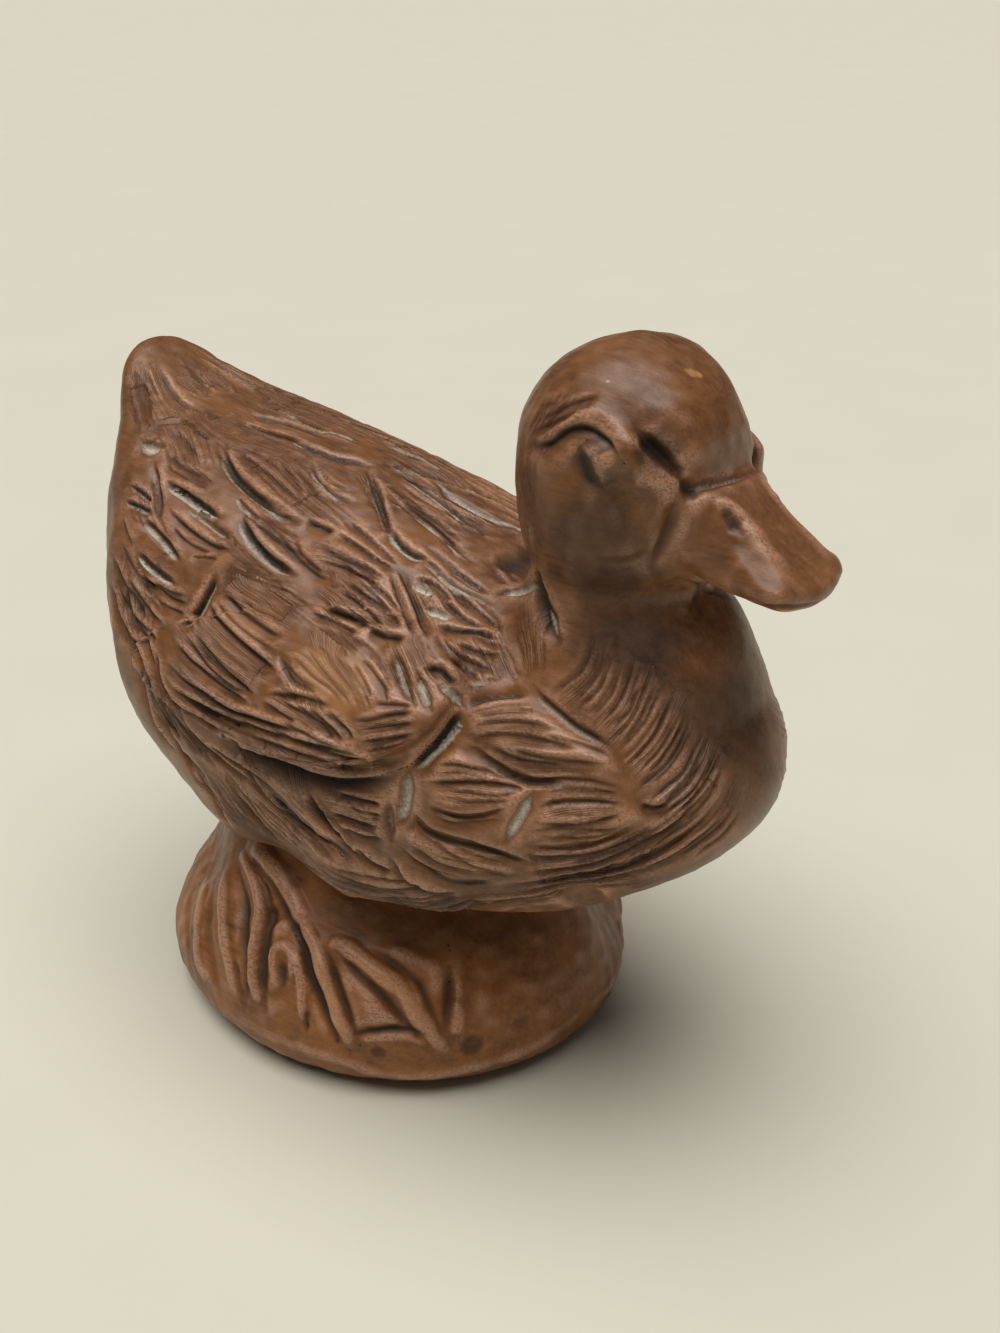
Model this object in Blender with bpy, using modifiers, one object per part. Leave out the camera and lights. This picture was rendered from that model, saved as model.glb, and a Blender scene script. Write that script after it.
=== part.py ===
"""A carved wooden duck on a rounded base, made of separate pieces that are glued and dowelled.

Metres, +Z up, +X the way the bill points, origin on the ground under the middle of the base.
Each carved form is lofted through a few sections, written as shares of that form's own named sizes.
"""

import math

import bmesh
import bpy
import numpy as np
from mathutils import Matrix, Vector
from mathutils.bvhtree import BVHTree

MM = 0.001

# Joints
GLUE_GAP = 0.3 * MM  # film of glue between two fitted faces
DOWEL_CLEARANCE = 0.3 * MM  # round a dowel in its bore, and past its ends

# Base and the felt under it
PAD_THICKNESS = 1.0 * MM
PAD_INSET = 3.5 * MM  # from the base's lower edge to the felt's edge
BASE_LENGTH = 82.0 * MM
BASE_WIDTH = 76.0 * MM
BASE_HEIGHT = 37.0 * MM  # underside to the rim of the hollow that holds the belly
BASE_SECTIONS = (  # height, radius
    (0.00, 0.90),
    (0.08, 0.98),
    (0.24, 1.00),
    (0.43, 0.95),
    (0.62, 0.84),
    (0.81, 0.69),
    (1.00, 0.57),
)

# Body
BODY_LENGTH = 128.0 * MM  # tail tip to breast
BODY_WIDTH = 71.0 * MM
BODY_DEPTH = 77.0 * MM  # belly to tail tip
BELLY_SINK = 10.0 * MM  # how deep the belly sits in the base
TAIL_REACH = 57.5 * MM  # tail tip behind the middle of the base
BODY_FULLNESS = 2.2  # exponent of the section's oval: 2 is an ellipse
BODY_SECTIONS = (  # along, back line, keel line, height of the widest line, half width
    (0.000, 0.96, 0.91, 0.94, 0.08),
    (0.016, 1.00, 0.85, 0.92, 0.21),
    (0.059, 0.97, 0.60, 0.81, 0.40),
    (0.113, 0.93, 0.34, 0.60, 0.69),
    (0.223, 0.88, 0.08, 0.46, 0.97),
    (0.372, 0.84, 0.01, 0.40, 1.00),
    (0.529, 0.785, 0.00, 0.38, 1.00),
    (0.685, 0.725, 0.03, 0.37, 0.93),
    (0.818, 0.67, 0.10, 0.385, 0.79),
    (0.920, 0.605, 0.215, 0.40, 0.57),
    (0.983, 0.51, 0.325, 0.41, 0.28),
    (1.000, 0.43, 0.395, 0.413, 0.06),
)

# Head, and the neck that it shares with the body
HEAD_LENGTH = 32.0 * MM
HEAD_WIDTH = 33.0 * MM
HEAD_HEIGHT = 35.3 * MM  # neck joint to crown
HEAD_SETBACK = 40.1 * MM  # back of the head behind the front of the breast
NECK_JOINT = 59.0 * MM  # belly to the neck joint
NECK_ROOT = 21.0 * MM  # how far the neck runs down into the body below the joint
HEAD_FULLNESS = 2.0
NECK_SECTIONS = (  # depth below the joint, back, front, half width
    (-1.00, -0.14, 1.15, 1.50),
    (-0.62, -0.06, 1.075, 1.26),
    (-0.29, 0.00, 0.966, 1.02),
    (0.00, 0.05, 0.826, 0.855),
)
HEAD_SECTIONS = (  # height above the joint, back, front, half width
    (0.00, 0.05, 0.826, 0.855),
    (0.17, 0.037, 0.92, 0.935),
    (0.40, 0.00, 1.00, 1.00),
    (0.62, 0.012, 1.00, 0.98),
    (0.79, 0.09, 0.92, 0.83),
    (0.935, 0.267, 0.733, 0.54),
    (1.00, 0.45, 0.58, 0.12),
)

# Bill
BILL_LENGTH = 20.6 * MM  # from inside the face to the tip
BILL_WIDTH = 19.6 * MM
BILL_RISE = 7.5 * MM  # axis to the top edge at the root
BILL_DROP = 6.5 * MM  # axis to the lower edge at the root
BILL_HEIGHT = 14.0 * MM  # axis above the neck joint at the root
BILL_SINK = 5.0 * MM  # root behind the front of the face
BILL_DROOP = math.radians(21.0)
BILL_FULLNESS = 2.4
BILL_SECTIONS = (  # along, half width, rise, drop
    (0.00, 1.00, 1.00, 1.00),
    (0.25, 0.90, 0.80, 0.80),
    (0.50, 0.85, 0.56, 0.65),
    (0.75, 0.90, 0.37, 0.49),
    (0.92, 0.78, 0.27, 0.37),
    (1.00, 0.31, 0.11, 0.12),
)

# Eyes
EYE_LENGTH = 9.5 * MM
EYE_HEIGHT = 7.0 * MM
EYE_DEPTH = 5.0 * MM
EYE_FORWARD = 21.5 * MM  # ahead of the back of the head
EYE_RISE = 22.5 * MM  # above the neck joint
EYE_SINK = 1.2 * MM  # middle of the eye below the cheek's surface

# Wings
WING_LENGTH = 57.0 * MM
WING_HEIGHT = 22.0 * MM
WING_THICKNESS = 4.4 * MM
WING_THIN_EDGE = 0.22  # share of the thickness along the upper edge
WING_FULL_EDGE = 0.73  # share of the thickness along the lower edge, without the swelling in the middle
WING_AHEAD_OF_TAIL = 65.0 * MM  # tail tip to the middle of the wing
WING_RISE = 42.5 * MM  # belly to the middle of the wing
WING_TILT = math.radians(6.0)  # shoulder above the wing tip
WING_TAPER = 0.35  # how much slimmer the tip is than the shoulder

# Feet
SHANK_LENGTH = 9.0 * MM
SHANK_WIDTH = 5.0 * MM
TOE_WIDTH = 4.5 * MM
TOE_THICKNESS = 2.4 * MM
WEB_SHARE = 0.45  # thickness of the web against a toe
OUTER_TOE = 16.5 * MM
MIDDLE_TOE = 24.0 * MM
INNER_TOE = 19.0 * MM
TOE_SPREAD = math.radians(32.0)
WEB_NOTCH = 0.90  # how far out the web's edge runs between two toes
FOOT_TURN = math.radians(-40.0)  # middle toe against the level, down the slope
FOOT_BEARING = math.radians(53.0)  # out from straight ahead, round the base
FOOT_SLOPE = math.radians(35.0)  # the base's slope under the foot
FOOT_RISE = 24.5 * MM  # heel above the base's underside
FOOT_HEEL = 9.0 * MM  # heel behind the foot's bearing line

# Main gouge cuts: each is drawn as a few points, in pixels, on a view of the right side
DRAWN_FROM = (1.720, -2.355, 1.869)  # viewpoint: shares of the body's length from its tail, width and depth
DRAWN_BODY = (1.0, 0.555, 0.602)  # length, width and depth of the body as drawn
DRAWN_BEARING = math.radians(40.0)  # ahead of square to the side
DRAWN_TILT = math.radians(26.0)  # down from level
DRAWN_FOCUS = 1550.0  # pixels
DRAWN_MIDDLE = (500.0, 666.5)
GOUGE_WIDTH = 2.8 * MM
GOUGE_DEPTH = 1.3 * MM
GOUGE_LIFT = 0.5 * MM  # how far the cutter stands out of the wood
GOUGE_STEEP = 0.3  # share of the width on the steep side of the cut
GOUGE_END = 0.15  # share of the size that is left at the ends of a cut
RUMP_CUTS = (
    ((152, 457), (161, 500), (166, 530)),
    ((141, 516), (163, 537), (183, 565)),
    ((136, 550), (155, 567), (181, 586)),
    ((163, 480), (191, 497), (225, 521)),
    ((184, 502), (209, 520), (238, 541)),
    ((126, 540), (141, 574), (172, 610)),
)
BACK_CUTS = (
    ((215, 436), (232, 470), (268, 505), (313, 524)),
    ((239, 510), (254, 542), (283, 567), (303, 578)),
    ((233, 417), (276, 436), (337, 458)),
    ((310, 463), (332, 490), (359, 501)),
    ((366, 466), (382, 507), (393, 543)),
    ((374, 488), (436, 530), (489, 569)),
    ((413, 551), (457, 586), (501, 609)),
    ((316, 561), (360, 575), (390, 592)),
    ((435, 630), (466, 669), (485, 685)),
)
BREAST_CUTS = (
    ((530, 680), (560, 712), (618, 752)),
    ((456, 734), (495, 763), (540, 781), (635, 793)),
    ((420, 803), (470, 814), (517, 804)),
    ((523, 845), (582, 845), (651, 822)),
    ((410, 804), (425, 828), (483, 846), (543, 866)),
    ((396, 839), (428, 864), (476, 882), (501, 879)),
    ((476, 886), (572, 878), (668, 846), (719, 798)),
)
FLANK_CUTS = (
    ((304, 785), (331, 824), (370, 858)),
    ((260, 786), (313, 829), (368, 860)),
    ((215, 759), (264, 820), (325, 866)),
    ((172, 731), (212, 793), (230, 820)),
    ((154, 668), (168, 716), (184, 740)),
)
WING_GOUGE_WIDTH = 2.2 * MM
WING_GOUGE_DEPTH = 0.9 * MM
WING_CUTS = (  # shares of half the wing's length and height, from its middle
    ((-0.55, 0.55), (-0.40, 0.30), (-0.20, 0.10)),
    ((-0.72, 0.18), (-0.55, 0.00), (-0.35, -0.12)),
    ((-0.72, -0.10), (-0.45, -0.34), (-0.10, -0.50), (0.40, -0.56)),
    ((-0.22, -0.14), (-0.02, -0.16), (0.15, -0.24)),
    ((0.25, -0.30), (0.45, -0.30), (0.68, -0.34)),
    ((0.00, 0.20), (0.25, 0.05), (0.45, -0.15)),
)

# Dowels
NECK_DOWEL_WIDTH = 8.0 * MM
NECK_DOWEL_LENGTH = 30.0 * MM
BILL_DOWEL_WIDTH = 4.0 * MM
BILL_DOWEL_LENGTH = 14.0 * MM
LEG_DOWEL_WIDTH = 6.0 * MM
LEG_DOWEL_LENGTH = 26.0 * MM
LEG_SPREAD = 26.0 * MM  # between the two leg dowels
LEG_FORWARD = 2.0 * MM  # ahead of the middle of the base

# Fineness of the facets
BODY_RINGS, BODY_SIDES = 34, 48
HEAD_RINGS, NECK_RINGS, HEAD_SIDES = 22, 10, 40
BILL_RINGS, BILL_SIDES = 14, 28
BASE_RINGS, BASE_SIDES = 16, 52
WING_RINGS, WING_SIDES = 6, 36
FOOT_RINGS, FOOT_STEPS = 5, 4
EYE_RINGS, EYE_SIDES = 12, 20
GOUGE_STATIONS = 6
DOWEL_SIDES = 20

# Places that follow from the sizes above
BASE_UNDERSIDE = PAD_THICKNESS + GLUE_GAP
BELLY_Z = BASE_UNDERSIDE + BASE_HEIGHT - BELLY_SINK
NECK_Z = BELLY_Z + NECK_JOINT
HEAD_BACK = BODY_LENGTH - TAIL_REACH - HEAD_SETBACK
NECK_X = HEAD_BACK + HEAD_LENGTH * (HEAD_SECTIONS[0][1] + HEAD_SECTIONS[0][2]) / 2
SIDES = {"right": -1, "left": 1}

WALNUT = ("stained_wood", (0.20, 0.085, 0.045), 0.42)
BILL_WOOD = ("bill_wood", (0.24, 0.10, 0.045), 0.35)
EYE_WOOD = ("eye_wood", (0.16, 0.065, 0.035), 0.32)
BEECH = ("dowel_wood", (0.55, 0.36, 0.20), 0.60)
FELT = ("felt", (0.03, 0.035, 0.028), 0.95)


def clear_scene():
    for obj in list(bpy.data.objects):
        bpy.data.objects.remove(obj)


def new_collection(name):
    collection = bpy.data.collections.new(name)
    bpy.context.scene.collection.children.link(collection)
    return collection


def material(name, colour, roughness):
    """A Principled material, made once for each finish."""
    made = bpy.data.materials.get(name)
    if made is None:
        made = bpy.data.materials.new(name)
        made.use_nodes = True
        shader = made.node_tree.nodes["Principled BSDF"]
        shader.inputs["Base Color"].default_value = (*colour, 1.0)
        shader.inputs["Roughness"].default_value = roughness
        shader.inputs["Metallic"].default_value = 0.0
    return made


def put(obj, collection, finish=None):
    """Files an object under one collection. A cutter has no finish and isn't rendered."""
    for old in list(obj.users_collection):
        old.objects.unlink(obj)
    collection.objects.link(obj)
    if finish is None:
        obj.hide_render = True
        obj.display_type = "WIRE"
    else:
        obj.data.materials.clear()
        obj.data.materials.append(material(*finish))
        obj.data.shade_smooth()
        obj.data.set_sharp_from_angle(angle=math.radians(45))
    return obj


def through(points, places):
    """Values on a smooth curve through the points, without overshoot between them."""
    table = np.array(points, float)
    known, values = table[:, 0], table[:, 1:]
    step = np.diff(known)[:, None]
    slope = np.diff(values, axis=0) / step
    before, after = slope[:-1], slope[1:]
    weight_before = 2 * step[1:] + step[:-1]
    weight_after = step[1:] + 2 * step[:-1]
    turning = before * after <= 0
    safe_before = np.where(turning, 1.0, before)
    safe_after = np.where(turning, 1.0, after)
    mean = (weight_before + weight_after) / (weight_before / safe_before + weight_after / safe_after)
    tangent = np.vstack([slope[:1], np.where(turning, 0.0, mean), slope[-1:]])
    index = np.clip(np.searchsorted(known, places) - 1, 0, len(known) - 2)
    width = step[index]
    t = (np.asarray(places) - known[index])[:, None] / width
    start = values[index] * (1 + 2 * t) * (1 - t) ** 2 + tangent[index] * width * t * (1 - t) ** 2
    end = values[index + 1] * t * t * (3 - 2 * t) + tangent[index + 1] * width * t * t * (t - 1)
    return start + end


def eased(first, last, count):
    """Places from first to last that crowd towards both ends, where the forms close."""
    return first + (last - first) * (0.5 - 0.5 * np.cos(np.linspace(0, math.pi, count)))


def oval(sides, fullness):
    """Unit oval as two arrays: exponent 2 is a circle, and more is squarer."""
    angle = np.linspace(0, 2 * math.pi, sides, endpoint=False)
    cos, sin = np.cos(angle), np.sin(angle)
    power = 2 / fullness
    return np.sign(cos) * np.abs(cos) ** power, np.sign(sin) * np.abs(sin) ** power


def loft(name, *shells):
    """A mesh of closed shells, each skinned over rings of points with a flat face at each end."""
    mesh = bpy.data.meshes.new(name)
    work = bmesh.new()
    for rings in shells:
        rows = [[work.verts.new(point) for point in ring] for ring in rings]
        for near, far in zip(rows, rows[1:]):
            for i, vert in enumerate(near):
                j = (i + 1) % len(near)
                work.faces.new((vert, near[j], far[j], far[i]))
        work.faces.new(rows[0][::-1])
        work.faces.new(rows[-1])
    bmesh.ops.recalc_face_normals(work, faces=work.faces)
    work.to_mesh(mesh)
    work.free()
    return bpy.data.objects.new(name, mesh)


def boolean(obj, other, operation):
    modifier = obj.modifiers.new(f"{operation.lower()} {other.name}", "BOOLEAN")
    modifier.operation = operation
    modifier.object = other
    modifier.solver = "EXACT"
    return modifier


def swollen(name, form, gap, cutters):
    """A cutter that is the form grown by a gap, so that what it cuts fits round the form."""
    cutter = put(bpy.data.objects.new(name, form.data.copy()), cutters)
    cutter.matrix_world = form.matrix_world
    grow = cutter.modifiers.new("grow", "DISPLACE")
    grow.strength = gap
    grow.mid_level = 0.0
    return cutter


def body_form(name):
    """Tail, back, belly and breast, as upright ovals along X."""
    cos, sin = oval(BODY_SIDES, BODY_FULLNESS)
    along = eased(0.0, 1.0, BODY_RINGS)
    rings = []
    for share, (back, keel, beam, half) in zip(along, through(BODY_SECTIONS, along)):
        reach = np.where(sin > 0, back - beam, beam - keel) * BODY_DEPTH
        x = np.full(BODY_SIDES, share * BODY_LENGTH - TAIL_REACH)
        y = cos * half * BODY_WIDTH / 2
        z = BELLY_Z + beam * BODY_DEPTH + sin * reach
        rings.append(np.stack([x, y, z], axis=1))
    return loft(name, rings)


def neck_ring(height, back, front, half):
    cos, sin = oval(HEAD_SIDES, HEAD_FULLNESS)
    x = HEAD_BACK + HEAD_LENGTH * ((back + front) / 2 + cos * (front - back) / 2)
    y = sin * half * HEAD_WIDTH / 2
    return np.stack([x, y, np.full(HEAD_SIDES, height)], axis=1)


def neck_form(name):
    """The part of the neck that belongs to the body, up to the joint."""
    depth = np.linspace(-1.0, 0.0, NECK_RINGS)
    sizes = through(NECK_SECTIONS, depth)
    return loft(name, [neck_ring(NECK_Z + d * NECK_ROOT, *s) for d, s in zip(depth, sizes)])


def head_form(name):
    """Head and upper neck, from just over the joint to the crown."""
    height = eased(0.0, 1.0, HEAD_RINGS)
    sizes = through(HEAD_SECTIONS, height)
    floor = NECK_Z + GLUE_GAP
    return loft(name, [neck_ring(floor + h * HEAD_HEIGHT, *s) for h, s in zip(height, sizes)])


def cheek(x, z):
    """Half width of the head at a place on its side."""
    share = (z - NECK_Z - GLUE_GAP) / HEAD_HEIGHT
    back, front, half = through(HEAD_SECTIONS, np.array([share]))[0]
    along = ((x - HEAD_BACK) / HEAD_LENGTH - (back + front) / 2) / ((front - back) / 2)
    return half * HEAD_WIDTH / 2 * (1 - abs(along) ** HEAD_FULLNESS) ** (1 / HEAD_FULLNESS)


def bill_axis():
    """Root point and direction of the bill."""
    root = Vector((HEAD_BACK + HEAD_LENGTH - BILL_SINK, 0.0, NECK_Z + GLUE_GAP + BILL_HEIGHT))
    return root, Vector((math.cos(BILL_DROOP), 0.0, -math.sin(BILL_DROOP)))


def bill_form(name):
    """A spatulate bill, as ovals square to its axis."""
    root, ahead = bill_axis()
    upward = Vector((math.sin(BILL_DROOP), 0.0, math.cos(BILL_DROOP)))
    cos, sin = oval(BILL_SIDES, BILL_FULLNESS)
    along = eased(0.0, 1.0, BILL_RINGS)
    rings = []
    for share, (half, rise, drop) in zip(along, through(BILL_SECTIONS, along)):
        height = sin * np.where(sin > 0, rise * BILL_RISE, drop * BILL_DROP)
        centre = root + ahead * share * BILL_LENGTH
        across = cos * half * BILL_WIDTH / 2
        rings.append([centre + upward * h + Vector((0.0, a, 0.0)) for h, a in zip(height, across)])
    return loft(name, rings)


def base_form(name):
    """The rounded base before the belly's hollow is cut into it."""
    cos, sin = oval(BASE_SIDES, 2.0)
    height = eased(0.0, 1.0, BASE_RINGS)
    rings = []
    for share, (radius,) in zip(height, through(BASE_SECTIONS, height)):
        z = np.full(BASE_SIDES, BASE_UNDERSIDE + share * BASE_HEIGHT)
        rings.append(np.stack([cos * radius * BASE_LENGTH / 2, sin * radius * BASE_WIDTH / 2, z], axis=1))
    return loft(name, rings)


def cylinder(name, width, length, place, direction):
    bpy.ops.mesh.primitive_cylinder_add(vertices=DOWEL_SIDES, radius=width / 2, depth=length)
    obj = bpy.context.object
    obj.name = obj.data.name = name
    obj.rotation_euler = direction.to_track_quat("Z", "Y").to_euler()
    obj.location = place
    return obj


def dowel(name, width, length, place, direction, joined, parts, cutters):
    """A dowel across a joint, and its bore in both of the pieces that it joins."""
    put(cylinder(name, width, length, place, direction), parts, BEECH)
    slack = 2 * DOWEL_CLEARANCE
    bore = put(cylinder(f"{name}_bore", width + slack, length + slack, place, direction), cutters)
    for piece in joined:
        boolean(piece, bore, "DIFFERENCE")


def eye(name, side, head, parts, cutters):
    """An almond eye let into a socket in the cheek."""
    x = HEAD_BACK + EYE_FORWARD
    z = NECK_Z + GLUE_GAP + EYE_RISE
    place = Vector((x, side * (cheek(x, z) - EYE_SINK), z))
    bpy.ops.mesh.primitive_uv_sphere_add(segments=EYE_SIDES, ring_count=EYE_RINGS, radius=0.5)
    obj = bpy.context.object
    obj.name = obj.data.name = name
    obj.data.transform(Matrix.Diagonal((EYE_LENGTH, EYE_DEPTH, EYE_HEIGHT, 1.0)))
    obj.location = place
    put(obj, parts, EYE_WOOD)
    bpy.context.view_layer.update()
    boolean(head, swollen(f"{name}_socket", obj, GLUE_GAP, cutters), "DIFFERENCE")


def laid_on(name, outline, rings, place, carrier, thickness, weight, parts):
    """A carved sheet that follows its carrier: an outline in its own plane, pressed on and thickened."""
    count = len(outline)
    points = [(0.0, 0.0)]
    points += [(u * k / rings, v * k / rings) for k in range(1, rings + 1) for u, v in outline]
    faces = [(0, 1 + i, 1 + (i + 1) % count) for i in range(count)]
    for k in range(rings - 1):
        inner, outer = 1 + k * count, 1 + (k + 1) * count
        for i in range(count):
            j = (i + 1) % count
            faces.append((inner + i, outer + i, outer + j, inner + j))
    mesh = bpy.data.meshes.new(name)
    mesh.from_pydata([(u, v, 0.0) for u, v in points], [], faces)
    obj = put(bpy.data.objects.new(name, mesh), parts, WALNUT)
    obj.matrix_world = place
    group = obj.vertex_groups.new(name="thickness")
    for index, (u, v) in enumerate(points):
        group.add([index], weight(u, v), "REPLACE")
    press = obj.modifiers.new("press on", "SHRINKWRAP")
    press.wrap_method = "PROJECT"
    press.wrap_mode = "ABOVE_SURFACE"
    press.use_project_z = True
    press.use_negative_direction = True
    press.use_positive_direction = False
    press.target = carrier
    press.offset = GLUE_GAP
    thicken = obj.modifiers.new("thicken", "SOLIDIFY")
    thicken.thickness = thickness
    thicken.offset = 1.0
    thicken.vertex_group = group.name
    return obj


def frame(across, upward, place):
    """Object matrix whose local X and Y are the two directions given."""
    outward = across.cross(upward)
    turn = Matrix((across, upward, outward)).transposed().to_4x4()
    return Matrix.Translation(place) @ turn


def body_sight(x, y):
    """Viewpoint, and the direction of a place in the view, stretched as the body is."""
    back = Vector((math.sin(DRAWN_BEARING), -math.cos(DRAWN_BEARING), math.tan(DRAWN_TILT))).normalized()
    right = Vector((math.cos(DRAWN_BEARING), math.sin(DRAWN_BEARING), 0.0))
    across = (x - DRAWN_MIDDLE[0]) / DRAWN_FOCUS
    down = (y - DRAWN_MIDDLE[1]) / DRAWN_FOCUS
    drawn = right * across - back.cross(right) * down - back
    size = Vector((BODY_LENGTH, BODY_WIDTH, BODY_DEPTH))
    ahead = Vector([drawn[k] * size[k] / DRAWN_BODY[k] for k in range(3)]).normalized()
    return Vector([DRAWN_FROM[k] * size[k] for k in range(3)]) + Vector((-TAIL_REACH, 0.0, BELLY_Z)), ahead


def surface(obj):
    """The object's finished surface, for lines of sight to meet."""
    work = bmesh.new()
    work.from_object(obj, bpy.context.evaluated_depsgraph_get())
    work.transform(obj.matrix_world)
    tree = BVHTree.FromBMesh(work)
    work.free()
    return tree


def gouge(cut, sight, tree, width, depth):
    """Rings of a three-sided cutter along a cut: steep on its left, easing out on its right."""
    shares = np.linspace(0, 1, len(cut))
    table = [(share, x, y) for share, (x, y) in zip(shares, cut)]
    drawn = through(table, np.linspace(0, 1, GOUGE_STATIONS))
    hits = [tree.ray_cast(*sight(x, y))[:2] for x, y in drawn]
    seen = [hit for hit in hits if hit[0]]  # a cut that runs off the edge of the form ends there
    rings = []
    for index, (place, outward) in enumerate(seen):
        last = len(seen) - 1
        along = seen[min(index + 1, last)][0] - seen[max(index - 1, 0)][0]
        left = outward.cross(along).normalized()
        full = GOUGE_END + (1 - GOUGE_END) * math.sin(math.pi * index / last)
        steep = place + left * GOUGE_STEEP * width * full + outward * GOUGE_LIFT
        bottom = place - outward * depth * full
        gentle = place - left * (1 - GOUGE_STEEP) * width * full + outward * GOUGE_LIFT
        rings.append((steep, bottom, gentle))
    return rings


def cut_away(piece, shells, cutters):
    cutter = put(loft(f"{piece.name}_gouges", *shells), cutters)
    boolean(piece, cutter, "DIFFERENCE").use_self = True


def carve_body(body, cutters):
    """Cuts the strokes that are drawn on the view into the right side and the left side alike."""
    tree = surface(body)
    cuts = RUMP_CUTS + BACK_CUTS + BREAST_CUTS + FLANK_CUTS
    right = [gouge(cut, body_sight, tree, GOUGE_WIDTH, GOUGE_DEPTH) for cut in cuts]
    left = [[[Vector((p.x, -p.y, p.z)) for p in ring] for ring in rings] for rings in right]
    cut_away(body, right + left, cutters)


def carve_wing(obj, side, cutters):
    """Cuts a wing's strokes, drawn square to its own plane."""
    tree = surface(obj)
    inward = obj.matrix_world.to_3x3() @ Vector((0.0, 0.0, -1.0))

    def sight(along, upward):
        drawn = Vector((-side * along * WING_LENGTH / 2, upward * WING_HEIGHT / 2, 0.0))
        return obj.matrix_world @ drawn, inward

    cut_away(obj, [gouge(cut, sight, tree, WING_GOUGE_WIDTH, WING_GOUGE_DEPTH) for cut in WING_CUTS], cutters)


def wing(side_name, side, flank, parts):
    """A folded wing on the flank: full in the middle, slim at the tip, thin along its upper edge."""
    outline = []
    for i in range(WING_SIDES):
        angle = 2 * math.pi * i / WING_SIDES
        u = math.cos(angle) * WING_LENGTH / 2
        v = math.sin(angle) * WING_HEIGHT / 2 * (1 + WING_TAPER * (math.cos(angle) - 1) / 2)
        outline.append((-side * u, v))
    outline = outline[::-side]

    def weight(u, v):
        low = min(max(0.5 - v / WING_HEIGHT, 0.0), 1.0)
        edge = WING_THIN_EDGE + (WING_FULL_EDGE - WING_THIN_EDGE) * math.sin(low * math.pi / 2)
        middle = math.exp(-((2 * u / WING_LENGTH) ** 2) - (2 * v / WING_HEIGHT) ** 2)
        return edge + (1 - WING_FULL_EDGE) * middle

    forward = Vector((math.cos(WING_TILT), 0.0, math.sin(WING_TILT))) * -side
    upward = Vector((-math.sin(WING_TILT), 0.0, math.cos(WING_TILT)))
    place = Vector((WING_AHEAD_OF_TAIL - TAIL_REACH, side * BODY_WIDTH, BELLY_Z + WING_RISE))
    matrix = frame(forward, upward, place)
    return laid_on(
        f"wing_{side_name}", outline, WING_RINGS, matrix, flank, WING_THICKNESS, weight, parts
    )


def foot_corners():
    """Outline corners of a foot round the middle of its middle toe, and the line of each toe."""
    reach = {TOE_SPREAD: INNER_TOE, 0.0: MIDDLE_TOE, -TOE_SPREAD: OUTER_TOE}
    middle = MIDDLE_TOE / 2
    tips = []
    for angle, length in reach.items():
        tips.append(Vector((length * math.cos(angle) - middle, length * math.sin(angle))))
    heel = Vector((-middle, 0.0))
    half = TOE_WIDTH / 2
    corners = [heel + Vector((-SHANK_LENGTH, SHANK_WIDTH / 2))]
    corners.append(heel + Vector((-SHANK_LENGTH, -SHANK_WIDTH / 2)))
    corners.append(heel + Vector((0.0, -SHANK_WIDTH / 2)))
    for tip, after in zip(tips[::-1], tips[-2::-1] + [None]):
        along = (tip - heel).normalized()
        square = Vector((-along.y, along.x)) * half
        corners += [tip - square, tip + square]
        if after is not None:
            corners.append(heel + ((tip + after) / 2 - heel) * WEB_NOTCH)
    corners.append(heel + Vector((0.0, SHANK_WIDTH / 2)))
    return corners, [(heel, tip) for tip in tips] + [(heel + Vector((-SHANK_LENGTH, 0.0)), heel)]


def line_distance(point, line):
    start, end = line
    along = end - start
    share = min(max((point - start).dot(along) / along.length_squared, 0.0), 1.0)
    return (point - start - along * share).length


def foot(side_name, side, base, parts):
    """A webbed foot on the slope of the base, its toes thicker than its web."""
    corners, lines = foot_corners()
    outline = []
    for start, end in zip(corners, corners[1:] + corners[:1]):
        outline += [start.lerp(end, k / FOOT_STEPS) for k in range(FOOT_STEPS)]
    outline = [(-side * point.x, point.y) for point in outline][::-side]

    def weight(u, v):
        near = min(line_distance(Vector((-side * u, v)), line) for line in lines)
        ridge = math.exp(-((near / (TOE_WIDTH / 2)) ** 2))
        return WEB_SHARE + (1 - WEB_SHARE) * ridge

    bearing = side * FOOT_BEARING
    round_base = Vector((-math.sin(bearing), math.cos(bearing), 0.0)) * -side
    out = Vector((math.cos(bearing), math.sin(bearing), 0.0))
    up_slope = Vector((0.0, 0.0, math.cos(FOOT_SLOPE))) - out * math.sin(FOOT_SLOPE)
    ahead = round_base * math.cos(FOOT_TURN) + up_slope * math.sin(FOOT_TURN)
    inward = up_slope * math.cos(FOOT_TURN) - round_base * math.sin(FOOT_TURN)
    radius = through(BASE_SECTIONS, np.array([FOOT_RISE / BASE_HEIGHT]))[0][0] * BASE_WIDTH / 2
    heel = out * radius + Vector((0.0, 0.0, BASE_UNDERSIDE + FOOT_RISE)) - round_base * FOOT_HEEL
    clear = (out * math.cos(FOOT_SLOPE) + Vector((0.0, 0.0, math.sin(FOOT_SLOPE)))) * BASE_WIDTH / 2
    matrix = frame(ahead * -side, inward, heel + ahead * MIDDLE_TOE / 2 + clear)
    return laid_on(
        f"foot_{side_name}", outline, FOOT_RINGS, matrix, base, TOE_THICKNESS, weight, parts
    )


def felt_pad(parts):
    """An oval of felt under the base."""
    edge = BASE_SECTIONS[0][1]
    bpy.ops.mesh.primitive_cylinder_add(vertices=BASE_SIDES, radius=0.5, depth=1.0)
    obj = bpy.context.object
    obj.name = obj.data.name = "felt_pad"
    length = edge * BASE_LENGTH - 2 * PAD_INSET
    width = edge * BASE_WIDTH - 2 * PAD_INSET
    obj.data.transform(Matrix.Diagonal((length, width, PAD_THICKNESS, 1.0)))
    obj.location.z = PAD_THICKNESS / 2
    put(obj, parts, FELT)


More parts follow.
